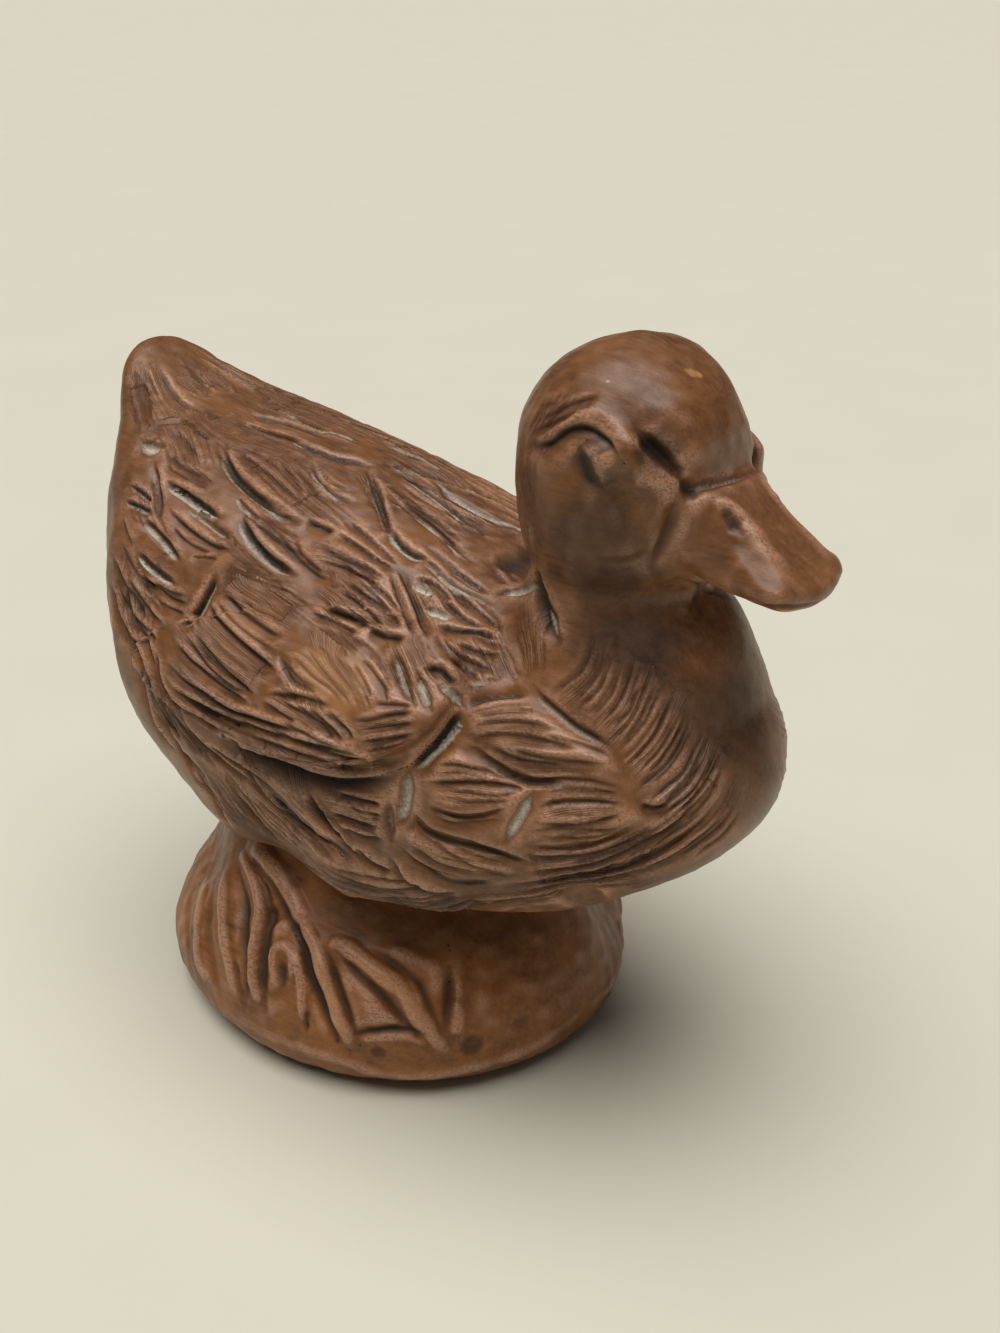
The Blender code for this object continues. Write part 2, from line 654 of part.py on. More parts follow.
def belly_at(x, y):
    """Height of the belly's underside over a place on the ground."""
    share = (x + TAIL_REACH) / BODY_LENGTH
    _, keel, beam, half = through(BODY_SECTIONS, np.array([share]))[0]
    across = abs(y) / (half * BODY_WIDTH / 2)
    drop = (1 - across**BODY_FULLNESS) ** (1 / BODY_FULLNESS)
    return BELLY_Z + (beam - (beam - keel) * drop) * BODY_DEPTH


def main():
    clear_scene()
    parts = new_collection("carved_duck")
    cutters = new_collection("cutters")

    body = put(body_form("body"), parts, WALNUT)
    base = put(base_form("base"), parts, WALNUT)
    head = put(head_form("head"), parts, WALNUT)
    bill = put(bill_form("bill"), parts, BILL_WOOD)
    felt_pad(parts)

    boolean(base, swollen("belly_hollow", body, GLUE_GAP, cutters), "DIFFERENCE")
    boolean(bill, swollen("face_cope", head, GLUE_GAP, cutters), "DIFFERENCE")
    boolean(body, put(neck_form("neck_root"), cutters), "UNION")

    upright = Vector((0.0, 0.0, 1.0))
    root, ahead = bill_axis()
    neck_place = Vector((NECK_X, 0.0, NECK_Z + GLUE_GAP / 2))
    face_place = root + ahead * BILL_SINK
    dowel("neck_dowel", NECK_DOWEL_WIDTH, NECK_DOWEL_LENGTH, neck_place, upright, (body, head), parts, cutters)
    dowel("bill_dowel", BILL_DOWEL_WIDTH, BILL_DOWEL_LENGTH, face_place, ahead, (head, bill), parts, cutters)

    flank = put(body_form("flank"), cutters)
    for side_name, side in SIDES.items():
        across = side * LEG_SPREAD / 2
        leg_place = Vector((LEG_FORWARD, across, belly_at(LEG_FORWARD, across)))
        leg = f"leg_dowel_{side_name}"
        dowel(leg, LEG_DOWEL_WIDTH, LEG_DOWEL_LENGTH, leg_place, upright, (base, body), parts, cutters)
        eye(f"eye_{side_name}", side, head, parts, cutters)
        carve_wing(wing(side_name, side, flank, parts), side, cutters)
        foot(side_name, side, base, parts)
    carve_body(body, cutters)


main()
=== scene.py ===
"""Looks of the carved wooden duck: the CAD forms are grown together, carved with gouges and stained, with
shade and highlights painted into the colour in places.

Strokes are drawn on enlarged parts of a 1000 x 1333 view of the duck's right side, thrown onto the wood
along that view and cut into both sides, or just into the seen one where both_sides is off. Widths of tools
and depths of cuts are in millimetres.
"""

import math

import bpy
import numpy as np
from mathutils import Matrix, Vector
from mathutils.bvhtree import BVHTree


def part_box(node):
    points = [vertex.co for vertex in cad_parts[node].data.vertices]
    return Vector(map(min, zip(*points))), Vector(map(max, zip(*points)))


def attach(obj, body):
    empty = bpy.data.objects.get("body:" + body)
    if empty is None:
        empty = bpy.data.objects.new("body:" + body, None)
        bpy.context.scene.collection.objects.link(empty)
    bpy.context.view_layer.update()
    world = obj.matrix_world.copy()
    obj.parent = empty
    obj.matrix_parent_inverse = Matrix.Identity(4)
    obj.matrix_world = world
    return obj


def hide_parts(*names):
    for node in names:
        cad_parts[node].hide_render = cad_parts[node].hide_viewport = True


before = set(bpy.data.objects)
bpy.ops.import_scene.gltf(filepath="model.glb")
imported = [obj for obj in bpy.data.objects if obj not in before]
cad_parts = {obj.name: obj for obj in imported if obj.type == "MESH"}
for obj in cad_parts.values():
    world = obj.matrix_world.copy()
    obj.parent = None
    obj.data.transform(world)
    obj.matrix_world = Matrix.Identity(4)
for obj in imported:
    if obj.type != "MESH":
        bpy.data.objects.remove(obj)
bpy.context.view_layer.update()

MM = 0.001
SIDES = ("right", "left")

# The view that strokes are drawn on
VIEW_WIDTH, VIEW_HEIGHT = 1000, 1333
FOCAL_PIXELS = 1550
AZIMUTH, ELEVATION = math.radians(40), math.radians(26)
DISTANCE = 240 * MM
TARGET = Vector((24, -2, 67)) * MM
PIXELS_PER_MM = FOCAL_PIXELS / DISTANCE * MM
BACK = Vector((math.sin(AZIMUTH), -math.cos(AZIMUTH), math.tan(ELEVATION))).normalized()
RIGHT = Vector((math.cos(AZIMUTH), math.sin(AZIMUTH), 0))
UP = BACK.cross(RIGHT)
EYE_POINT = TARGET + BACK * DISTANCE

# The blocks of wood and the pieces made of them
SWELL = 0.2 * MM  # how much each copied form grows, so that glued neighbours run together
WELD = 0.00001  # corners closer than this are one
SKIN_FACET, SKIN_EASE = 0.31 * MM, 16
BASE_FACET, BASE_EASE = 0.42 * MM, 14
LEAST_WEIGHT = 0.02  # wood with less than this isn't eased
MOST_TRIANGLES = 190000
RIM_DEPTH = 2 * MM  # how far the wall of a cut end goes in
WING_DEPTH, EYE_DEPTH, FOOT_DEPTH = 2.2, 1.4, 1.4  # pockets, in millimetres
POCKET_FILL = 0.9  # share of its pocket's depth that a let-in piece fills
NECK_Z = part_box("head")[0][2]
NECK_X = 26 * MM  # the neck is ahead of this, the tail behind it

# Cuts: how far they reach in widths of the tool, and the shares of a stroke over which they run in and out
GOUGE_REACH, GOUGE_RUN = 2.2, (0, 0.24)
CREASE_REACH, CREASE_RUN = 1.6, (0, 0.3)
BARB_REACH, BARB_RUN_IN, BARB_RUN_OUT = 1.7, (0, 0.35), (0, 0.25)
SWELL_REACH, SWELL_RUN = 1.5, (-0.05, 0.3)
RIDGE_RUN_IN, RIDGE_RUN_OUT = (-0.12, 0.15), (-0.06, 0.12)
COMB_REACH, COMB_RUN = 9 * MM, (0, 0.2)
FAINT_CUT = 0.13  # cuts no deeper than this are drawn without hairlines
TOOL_WAVES, WAVE_LENGTHS, WAVE_STARTS = 18, (2.5, 8), (0, 6)
HATCH_LIFT = 0.8  # share of the hatching's mean depth that is given back as height
HATCH_SPREAD, RELIEF_SPREAD = 30, 60  # rounds of evening out
DEEP_HOLLOW, HIGH_CREST = 0.7 * MM, 0.2 * MM
KNUCKLE_SIZE = 0.12  # how much thicker a ridge is at a knuckle
SPOT_EDGE = (0.6, 1.15)  # shares of its radius between which a spot fades

# Section of a gouge cut, in widths from the stroke: its two sides, the burr, the dark line of painted shadow
# and staining on the steep wall, and the filler
STEEP_SIDE = 0.13
GENTLE_NEAR, GENTLE_NEAR_SHARE = 0.3, 0.55
GENTLE_FAR, GENTLE_FAR_SHARE = 0.95, 0.45
BURR_PLACE, BURR_WIDTH, BURR_HEIGHT = 0.4, 0.3, 0.16
LINE_PLACE, LINE_WIDTH = -0.03, 0.15
CHALK_PLACE, CHALK_WIDTH = -0.32, 0.24

# Hatching: how far each fine cut strays from an even fan, and the hairlines between the cuts
GUIDE_PLACES, BARB_PLACES = 9, 5
BARB_DRIFT, BARB_WOBBLE = 0.25, 0.22  # in spaces between cuts, and in steps of the sheet
BARB_STARTS, BARB_ENDS = (0, 0.2), (0.8, 1)  # shares of the guides
BARB_WIDTHS, BARB_DEPTHS = (0.75, 1.3), (0.6, 1.3)  # times the fan's own
HAIRS_PER_CUT, HAIR_STARTS = 2, (0, 50)


# Sheets that strokes are drawn on

class Enlargement:
    """Part of the view drawn large: strokes on it are in its own pixels."""

    step = 16

    def __init__(self, left, top, scale):
        self.left, self.top, self.scale = left, top, scale

    def ray(self, x, y):
        across = (self.left + x / self.scale - VIEW_WIDTH / 2) / FOCAL_PIXELS
        down = (self.top + y / self.scale - VIEW_HEIGHT / 2) / FOCAL_PIXELS
        return EYE_POINT, (RIGHT * across - UP * down - BACK).normalized()

    def pixels(self, points):
        """Where points in space are seen on the sheet."""
        offset = points - np.array(EYE_POINT)
        depth = -offset @ np.array(BACK)
        across = VIEW_WIDTH / 2 + offset @ np.array(RIGHT) / depth * FOCAL_PIXELS
        down = VIEW_HEIGHT / 2 - offset @ np.array(UP) / depth * FOCAL_PIXELS
        return np.stack([(across - self.left) * self.scale, (down - self.top) * self.scale], axis=1)


TAIL = Enlargement(80, 320, 3.267)
HEAD = Enlargement(380, 320, 3.136)
WING = Enlargement(80, 560, 3.267)
BREAST = Enlargement(380, 600, 3.136)
ROCK = Enlargement(160, 820, 3.136)

EYE_OUTLINE = [(620, 404), (650, 374), (690, 360), (732, 396), (766, 450), (742, 508), (695, 528), (648, 500)]
BILL_OUTLINE = [(1190, 468), (1100, 497), (1010, 522), (925, 556), (912, 610), (880, 710), (846, 778),
                (900, 930), (1600, 1100), (1600, 380)]
WING_OUTLINE = [(252, 420), (330, 490), (450, 572), (640, 660), (840, 716), (960, 710), (1080, 672),
                (1160, 592), (1236, 488), (1150, 372), (1000, 262), (820, 168), (620, 98), (440, 112),
                (320, 218)]
FOOT_OUTLINE = [(290, 110), (334, 100), (404, 200), (460, 300), (560, 338), (700, 342), (830, 370),
                (908, 392), (908, 520), (926, 690), (884, 724), (840, 704), (740, 690), (634, 700),
                (600, 728), (556, 690), (500, 560), (440, 384), (380, 280), (320, 180)]


# Places where the wood is drawn a little before it is carved: place, reach and move in millimetres

def with_mirror(place, reach, move):
    """The same pull on the right side and on the left."""
    (x, y, z), (along, across, up) = place, move
    return [(place, reach, move), ((x, -y, z), reach, (along, -across, up))]


DUCK_PULLS = [
    ((72, 0, 97), 14, (0, 0, -1.7)),
    ((62, 0, 107), 7, (-1.2, 0, 0)),
    *with_mirror((63, -6, 94), 6, (0, 0, -1.5)),
    ((76, 0, 99), 5, (0.4, 0, -1.0)),
    ((57, 2, 80), 9, (2.0, 0.8, 2.0)),
    ((48, 0, 36), 14, (0, 0, 1.8)),
    *with_mirror((13, -29, 37), 9, (0, -0.6, -2.8)),
    *with_mirror((-45, -24, 54), 10, (2.6, 1.8, 0)),
    *with_mirror((-10, -30, 40), 10, (0, -0.5, -3.5)),
    ((52, -16, 110), 6, (0, 1.4, 0)),
    ((52, 16, 110), 6, (0, -2.4, 0)),
    ((57, 13, 113), 7, (-0.8, -1.4, 0)),
    ((61, 12, 102), 5, (1.2, 1.6, 0)),
    ((70, 0, 101), 7, (0.5, 0, 0.6)),
    ((46, 0, 122), 16, (0, 0, -0.9)),
    *with_mirror((-42, -17, 60), 14, (3.6, 2.2, 0)),
    ((-50, 0, 80), 11, (-1.2, 0, 0)),
    ((-55, 0, 100), 8, (-2.2, 0, 0)),
    ((-40, 0, 97), 12, (0, 0, -1.2)),
    ((-8, 0, 86), 18, (0, 0, 1.5)),
    *with_mirror((-34, -18, 42), 9, (-2.2, -1.6, -1.0)),
]
BASE_PULLS = [
    ((-32, -28, 8), 16, (-1.7, -1.4, 0)),
    ((-27, -25, 21), 9, (2.6, 2.1, 0)),
    ((35, 18, 18), 10, (-2.4, -2.0, 0)),
    ((-22, -16, 34), 8, (-2.0, -1.6, 2.0)),
]

# Places where the block is eased before and after the pulls: place and reach in millimetres, and rounds
EYE_EASE = ((50, -15, 109), 7, 140)
BREAST_EASE = ((70, 0, 58), 7, 140)
FAR_BREAST_EASE = ((62, 17, 58), 9, 100)
NECK_EASE_BELOW, NECK_EASE_REACH, NECK_EASE_ROUNDS = 4 * MM, 9 * MM, 200
NECK_EASE_RUN = 8 * MM

# The far breast, where cuts are lighter: where it comes in from the middle and from behind
FAR_BREAST_FADE = 0.7
FAR_BREAST_ACROSS = (0, 6 * MM)
FAR_BREAST_ALONG = (40 * MM, 54 * MM)


# Forms

def deselect():
    bpy.ops.object.select_all(action="DESELECT")


def activate(obj):
    deselect()
    obj.select_set(True)
    bpy.context.view_layer.objects.active = obj


def open_mesh(obj):
    """Into edit mode with all of the mesh selected."""
    activate(obj)
    bpy.ops.object.mode_set(mode="EDIT")
    bpy.ops.mesh.select_all(action="SELECT")


def close_mesh():
    bpy.ops.object.mode_set(mode="OBJECT")


def apply_modifier(obj, kind, **settings):
    activate(obj)
    modifier = obj.modifiers.new(kind.lower(), kind)
    for key, value in settings.items():
        setattr(modifier, key, value)
    bpy.ops.object.modifier_apply(modifier=modifier.name)


def swollen_copy(node):
    """A merged copy of a CAD node, grown a little on all sides."""
    obj = bpy.data.objects.new(node + "_block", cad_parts[node].data.copy())
    bpy.context.scene.collection.objects.link(obj)
    open_mesh(obj)
    bpy.ops.mesh.remove_doubles(threshold=WELD)
    bpy.ops.transform.shrink_fatten(value=SWELL)
    close_mesh()
    return obj


def largest_part(obj):
    """Drops the walls of closed bores, which the outside doesn't show."""
    open_mesh(obj)
    bpy.ops.mesh.separate(type="LOOSE")
    close_mesh()
    shells = sorted(bpy.context.selected_objects, key=lambda shell: len(shell.data.vertices))
    for shell in shells[:-1]:
        bpy.data.objects.remove(shell)
    return shells[-1]


def block(name, nodes, facet, ease):
    """One even skin over several CAD nodes, with the facets eased away."""
    copies = [swollen_copy(node) for node in nodes]
    activate(copies[0])
    for copy in copies[1:]:
        copy.select_set(True)
    if len(copies) > 1:
        bpy.ops.object.join()
    obj = bpy.context.object
    obj.data.remesh_voxel_size = facet
    bpy.ops.object.voxel_remesh()
    obj = largest_part(obj)
    apply_modifier(obj, "SMOOTH", factor=0.5, iterations=ease)
    obj.name = obj.data.name = name
    obj.data.materials.clear()
    return obj


def vectors(items, key):
    """One vector of every vertex or face, as rows."""
    values = np.empty(len(items) * 3)
    items.foreach_get(key, values)
    return values.reshape(-1, 3)


def edges_of(mesh):
    edges = np.empty(len(mesh.edges) * 2, int)
    mesh.edges.foreach_get("vertices", edges)
    return edges.reshape(-1, 2)


def neighbour_counts(a, b, count):
    """How many neighbours each point has, for edges from the points a to the points b."""
    return np.maximum(np.bincount(a, minlength=count) + np.bincount(b, minlength=count), 1)


def neighbour_means(values, a, b, neighbours):
    """The mean value of each point's neighbours."""
    count = len(values)
    return (np.bincount(a, values[b], count) + np.bincount(b, values[a], count)) / neighbours


def smoothstep(low, high, value):
    share = np.clip((value - low) / (high - low), 0, 1)
    return share * share * (3 - 2 * share)


def bell(value, width):
    return np.exp(-((value / width) ** 2))


def tapered(along, run_in, run_out):
    """1 on a stroke, with smooth steps at its start and end between the given shares of its length."""
    return smoothstep(*run_in, along) * smoothstep(*run_out, 1 - along)


def closeness(points, place, reach):
    """1 at a place in millimetres, falling off over the reach."""
    return bell(np.linalg.norm(points - np.array(place) * MM, axis=1), reach * MM)


def pull(points, moves):
    """Draws the wood near each place some way in one direction."""
    for place, reach, move in moves:
        points += closeness(points, place, reach)[:, None] * np.array(move) * MM


def ease_near(points, edges, weights, rounds):
    """Smooths just the weighted part of a block."""
    touched = weights > LEAST_WEIGHT
    edges = edges[touched[edges].any(axis=1)]
    used, ends = np.unique(edges, return_inverse=True)
    a, b = ends.reshape(-1, 2).T
    neighbours = neighbour_counts(a, b, len(used))
    share = 0.5 * np.where(touched[used], weights[used], 0)
    for axis in range(3):
        values = points[used, axis]
        for _ in range(rounds):
            values = values + share * (neighbour_means(values, a, b, neighbours) - values)
        points[used, axis] = values


def reshape(obj, points):
    obj.data.vertices.foreach_set("co", points.ravel())
    obj.data.update()


# Carving

def curve_through(points, step):
    """Evenly spaced points on a smooth curve through the given ones."""
    points = np.array(points, float)
    ends = np.vstack([2 * points[0] - points[1], points, 2 * points[-1] - points[-2]])
    pieces = []
    for a, b, c, d in zip(ends, ends[1:], ends[2:], ends[3:]):
        count = max(2, int(np.linalg.norm(c - b) / step))
        t = np.linspace(0, 1, count, endpoint=False)[:, None]
        bend = (2 * a - 5 * b + 4 * c - d) * t**2 + (3 * b - a - 3 * c + d) * t**3
        pieces.append(b + ((c - a) * t + bend) / 2)
    return np.vstack(pieces + [points[-1:]])


def at_shares(line, known, wanted):
    """Places at the wanted shares of a drawn line whose own places lie at known shares."""
    return np.stack([np.interp(wanted, known, line[:, k]) for k in (0, 1)], axis=1)


def folded(points):
    """Both sides laid on the right one."""
    return points * (1, 0, 1) - np.abs(points) * (0, 1, 0)


def inside(places, outline):
    """Which places lie inside a closed outline, and how far each is from its edge."""
    corners = np.array(outline, float)
    within = np.zeros(len(places), bool)
    distance = np.full(len(places), np.inf)
    for a, b in zip(corners, np.roll(corners, -1, axis=0)):
        crosses = (a[1] > places[:, 1]) != (b[1] > places[:, 1])
        rise = b[1] - a[1] if b[1] != a[1] else 1e-9
        within ^= crosses & (places[:, 0] < a[0] + (places[:, 1] - a[1]) / rise * (b[0] - a[0]))
        share = np.clip(((places - a) @ (b - a)) / ((b - a) @ (b - a)), 0, 1)
        distance = np.minimum(distance, np.linalg.norm(places - a - share[:, None] * (b - a), axis=1))
    return within, distance


class Carver:
    """Gathers cuts and swellings on a block of wood, then moves its surface."""

    def __init__(self, obj, seed):
        self.mesh = obj.data
        self.own = vectors(self.mesh.vertices, "co")
        self.normals = vectors(self.mesh.vertices, "normal")
        self.edges = edges_of(self.mesh)
        self.tree = BVHTree.FromObject(obj, bpy.context.evaluated_depsgraph_get())
        self.random = np.random.default_rng(seed)
        self.laid = folded(self.own)
        x, y, z = self.own.T
        far = smoothstep(*FAR_BREAST_ACROSS, y) * smoothstep(*FAR_BREAST_ALONG, x) * (z < NECK_Z)
        self.strength = 1 - FAR_BREAST_FADE * far
        self.by_x = {True: np.argsort(self.laid[:, 0]), False: np.argsort(self.own[:, 0])}
        count = len(self.own)
        self.form, self.rise, self.cut, self.barbs = (np.zeros(count) for _ in range(4))
        self.line, self.chalk, self.stain, self.bare = (np.zeros(count) for _ in range(4))
        self.hair, self.haired = np.zeros(count), np.zeros(count)

    def draw_on(self, sheet, both_sides=True):
        self.sheet, self.both_sides = sheet, both_sides
        self.points = self.laid if both_sides else self.own

    def thrown(self, x, y):
        """Where the line of sight through a place on the sheet meets the block, and how it faces there."""
        place, normal, _, _ = self.tree.ray_cast(*self.sheet.ray(x, y))
        if place is None:
            return None
        flip = -1 if self.both_sides and place.y > 0 else 1
        return (place.x, place.y * flip, place.z), (normal.x, normal.y * flip, normal.z)

    def near(self, stroke, reach):
        """Points near a stroke: index, signed distance (left of the stroke is plus) and share along it."""
        seen = [self.thrown(x, y) for x, y in curve_through(stroke, self.sheet.step)]
        seen = [found for found in seen if found]
        if len(seen) < 2:
            return np.zeros(0, int), np.zeros(0), np.zeros(0)
        path = np.array([place for place, _ in seen])
        facing = np.array([normal for _, normal in seen])[:-1]
        low, high = path.min(axis=0) - reach, path.max(axis=0) + reach
        order = self.by_x[self.both_sides]
        first, last = np.searchsorted(self.points[:, 0], (low[0], high[0]), sorter=order)
        index = order[first:last]
        index = index[((self.points[index] > low) & (self.points[index] < high)).all(axis=1)]
        index = index[self.within(index, path, reach)]
        step = np.diff(path, axis=0)
        offset = self.points[index][:, None] - path[:-1]
        share = np.clip((offset * step).sum(-1) / np.maximum((step * step).sum(-1), 1e-12), 0, 1)
        offset -= share[..., None] * step
        distance = np.sqrt((offset * offset).sum(-1))
        closest = distance.argmin(axis=1)
        row = np.arange(len(index))
        left = np.cross(facing, step)[closest]
        side = np.where((left * offset[row, closest]).sum(-1) >= 0, 1.0, -1.0)
        return index, side * distance[row, closest], (closest + share[row, closest]) / len(step)

    def within(self, index, path, reach):
        """Which points may be within reach of a path, from every fourth of its points."""
        stops = np.vstack([path[::4], path[-1:]])
        spacing = np.linalg.norm(np.diff(stops, axis=0), axis=1).max()
        nearest = np.full(len(index), np.inf)
        for stop in stops:
            nearest = np.minimum(nearest, ((self.points[index] - stop) ** 2).sum(-1))
        return nearest < (reach + spacing) ** 2

    def keep_most(self, field, index, values):
        field[index] = np.maximum(field[index], self.strength[index] * values)

    def gouge(self, stroke, width, depth, chalk=0.0, lean=1):
        """A crescent cut, pointed at both ends: steep on the left of the stroke, easing out on its right."""
        index, across, along = self.near(stroke, GOUGE_REACH * width * MM)
        full = tapered(along, GOUGE_RUN, GOUGE_RUN)
        off = lean * across / (width * MM * (0.5 + 0.5 * full))
        gentle = GENTLE_NEAR_SHARE * np.exp(off / GENTLE_NEAR) + GENTLE_FAR_SHARE * bell(off, GENTLE_FAR)
        section = np.where(off > 0, np.exp(-off / STEEP_SIDE), gentle)
        burr = BURR_HEIGHT * depth * MM * full * bell(off - BURR_PLACE, BURR_WIDTH)
        # The dark line along the steep wall is painted shadow with staining in the cut, darker for deeper
        # cuts.
        dark = min(1, 0.3 + 0.7 * depth)
        self.keep_most(self.cut, index, depth * MM * full * section)
        self.keep_most(self.rise, index, burr)
        self.keep_most(self.line, index, dark * full * bell(off - LINE_PLACE, LINE_WIDTH))
        self.keep_most(self.chalk, index, chalk * full * bell(off - CHALK_PLACE, CHALK_WIDTH))

    def crease(self, stroke, width, depth, chalk=0.0, stain=0.0, bare=0.0):
        """An even groove with rounded sides and ends, or just a swathe where it has no depth: of filler, of
        painted shade with some staining, or of worn paler wood and painted highlight.
        """
        index, across, along = self.near(stroke, CREASE_REACH * width * MM)
        full = tapered(along, CREASE_RUN, CREASE_RUN)
        section = bell(across / (width * MM * (0.55 + 0.45 * full)), 0.5)
        strength = (0.35 + 0.65 * full) * section
        self.keep_most(self.cut, index, depth * MM * strength)
        self.keep_most(self.chalk, index, chalk * strength)
        self.keep_most(self.stain, index, stain * strength)
        self.keep_most(self.bare, index, bare * strength)

    def barb(self, stroke, width, depth, dark=1.0):
        """One fine cut of the hatching."""
        index, across, along = self.near(stroke, BARB_REACH * width * MM)
        full = tapered(along, BARB_RUN_IN, BARB_RUN_OUT)
        off = across / (width * MM * (0.5 + 0.5 * full))
        section = np.where(off > 0, np.exp(-off / 0.18), np.exp(off / 0.5))
        self.keep_most(self.barbs, index, depth * MM * full * section)
        # The fine cut's dark line is painted shadow with staining, darker for deeper cuts.
        self.keep_most(self.line, index, dark * min(1, 0.1 + 0.6 * depth) * full * bell(off, 0.2))

    def barb_fan(self, first, last, count, width, depth, dark=1.0):
        """Fine cuts that pass from one guide stroke to another, each a little out of true."""
        places = np.linspace(0, 1, GUIDE_PLACES)
        guides = []
        for guide in (first, last):
            curve = curve_through(guide, self.sheet.step)
            guides.append(at_shares(curve, np.linspace(0, 1, len(curve)), places))
        if depth > FAINT_CUT:
            self.comb(first, last, count)
        wobble = BARB_WOBBLE * self.sheet.step
        for i in range(count):
            share = (i + 0.5 + self.random.uniform(-BARB_DRIFT, BARB_DRIFT)) / count
            line = guides[0] + (guides[1] - guides[0]) * share
            start = self.random.uniform(*BARB_STARTS)
            end = self.random.uniform(*BARB_ENDS)
            line = at_shares(line, places, np.linspace(start, end, BARB_PLACES))
            line += self.random.uniform(-wobble, wobble, line.shape)
            this_width = width * self.random.uniform(*BARB_WIDTHS)
            this_depth = depth * self.random.uniform(*BARB_DEPTHS)
            self.barb(line, this_width, this_depth, dark)

    def comb(self, first, last, count):
        """Numbers the wood from one guide stroke to the other, for the hairlines of the finish."""
        near_first, beside_first, along = self.near(first, COMB_REACH)
        near_last, beside_last, _ = self.near(last, COMB_REACH)
        index, one, two = np.intersect1d(near_first, near_last, assume_unique=True, return_indices=True)
        between = (beside_first[one] * beside_last[two] < 0) & (along[one] > 0) & (along[one] < 1)
        index, one, two = index[between], one[between], two[between]
        to_first, to_last = np.abs(beside_first[one]), np.abs(beside_last[two])
        share = to_first / (to_first + to_last)
        self.hair[index] = self.random.uniform(*HAIR_STARTS) + HAIRS_PER_CUT * count * share
        full = tapered(along[one], COMB_RUN, COMB_RUN)
        full *= smoothstep(*COMB_RUN, share) * smoothstep(*COMB_RUN, 1 - share)
        self.keep_most(self.haired, index, full)

    def swell(self, stroke, width, height):
        """A broad fullness along a stroke, or a broad hollow where the height is below nothing."""
        index, across, along = self.near(stroke, SWELL_REACH * width * MM)
        full = tapered(along, SWELL_RUN, SWELL_RUN)
        self.form[index] += height * MM * full * bell(across / (width * MM), 0.5)

    def ridge(self, stroke, width, height, knuckles=0):
        """A rounded rib with steep sides, thicker at its knuckles."""
        index, across, along = self.near(stroke, width * MM)
        full = tapered(along, RIDGE_RUN_IN, RIDGE_RUN_OUT)
        thick = 1 + KNUCKLE_SIZE * np.sin(2 * np.pi * knuckles * along) if knuckles else 1
        off = np.clip(2 * across / (width * MM * thick), -1, 1)
        self.keep_most(self.rise, index, height * MM * thick * full * (1 - off * off))

    def lobe(self, outline, height, edge):
        """A pillow with the given outline, rising over the given width of edge."""
        toward = np.array(EYE_POINT) - self.points
        mirrored = self.points[:, 1:2] * self.own[:, 1:2] < 0
        facing = self.normals * np.where(mirrored, (1, -1, 1), (1, 1, 1))
        index = np.nonzero((facing * toward).sum(-1) > 0)[0]
        within, distance = inside(self.sheet.pixels(self.points[index]), outline)
        index, distance = index[within], distance[within]
        share = np.clip(distance / (edge * PIXELS_PER_MM * self.sheet.scale), 0, 1)
        self.form[index] += height * MM * smoothstep(0, 1, share)

    def spot(self, x, y, radius, field, amount):
        """A round patch of one of the finishes: filler, painted shade with some staining, or worn paler wood
        and painted highlight.
        """
        place, _ = self.thrown(x, y)
        distance = np.sqrt(((self.points - np.array(place)) ** 2).sum(-1))
        inner, outer = (share * radius * MM for share in SPOT_EDGE)
        patch = amount * (1 - smoothstep(inner, outer, distance))
        field[:] = np.maximum(field, patch)

    def tool_marks(self, amount):
        """Slight waves all over, as a knife leaves them."""
        for _ in range(TOOL_WAVES):
            heading = self.random.normal(size=3)
            heading /= np.linalg.norm(heading)
            turns = 2 * np.pi / (self.random.uniform(*WAVE_LENGTHS) * MM)
            wave = np.sin(self.own @ heading * turns + self.random.uniform(*WAVE_STARTS))
            self.form += amount * MM * wave / 4

    def spread(self, values, rounds):
        """Values evened out over neighbouring points."""
        a, b = self.edges.T
        neighbours = neighbour_counts(a, b, len(values))
        for _ in range(rounds):
            values = 0.5 * values + 0.5 * neighbour_means(values, a, b, neighbours)
        return values

    def finish(self):
        """Moves the surface and works out what the material needs to know, painted shade and highlights among
        it.
        """
        hatching = HATCH_LIFT * self.spread(self.barbs, HATCH_SPREAD) - self.barbs
        relief = self.spread(self.form + self.rise - self.cut + hatching, 1)
        moved = self.own + self.normals * relief[:, None]
        self.mesh.vertices.foreach_set("co", moved.ravel())
        around = self.spread(relief, RELIEF_SPREAD)
        # hollow and crest measure how far the carving sinks below or stands above its surroundings: they
        # drive staining with painted shade in the hollows, and wear with a painted highlight on the crests.
        self.fields = {
            "hollow": np.clip((around - relief) / DEEP_HOLLOW, 0, 1),
            "crest": np.clip((relief - around) / HIGH_CREST, 0, 1),
            "line": self.spread(self.line, 1),
            "chalk": self.chalk,
            "stain": self.stain,
            "bare": self.bare,
            "hair": self.hair,
            "haired": self.haired,
        }
        self.mesh.update()


# Strokes: places on the sheet, then width and depth, and for a gouge how much filler is packed in it

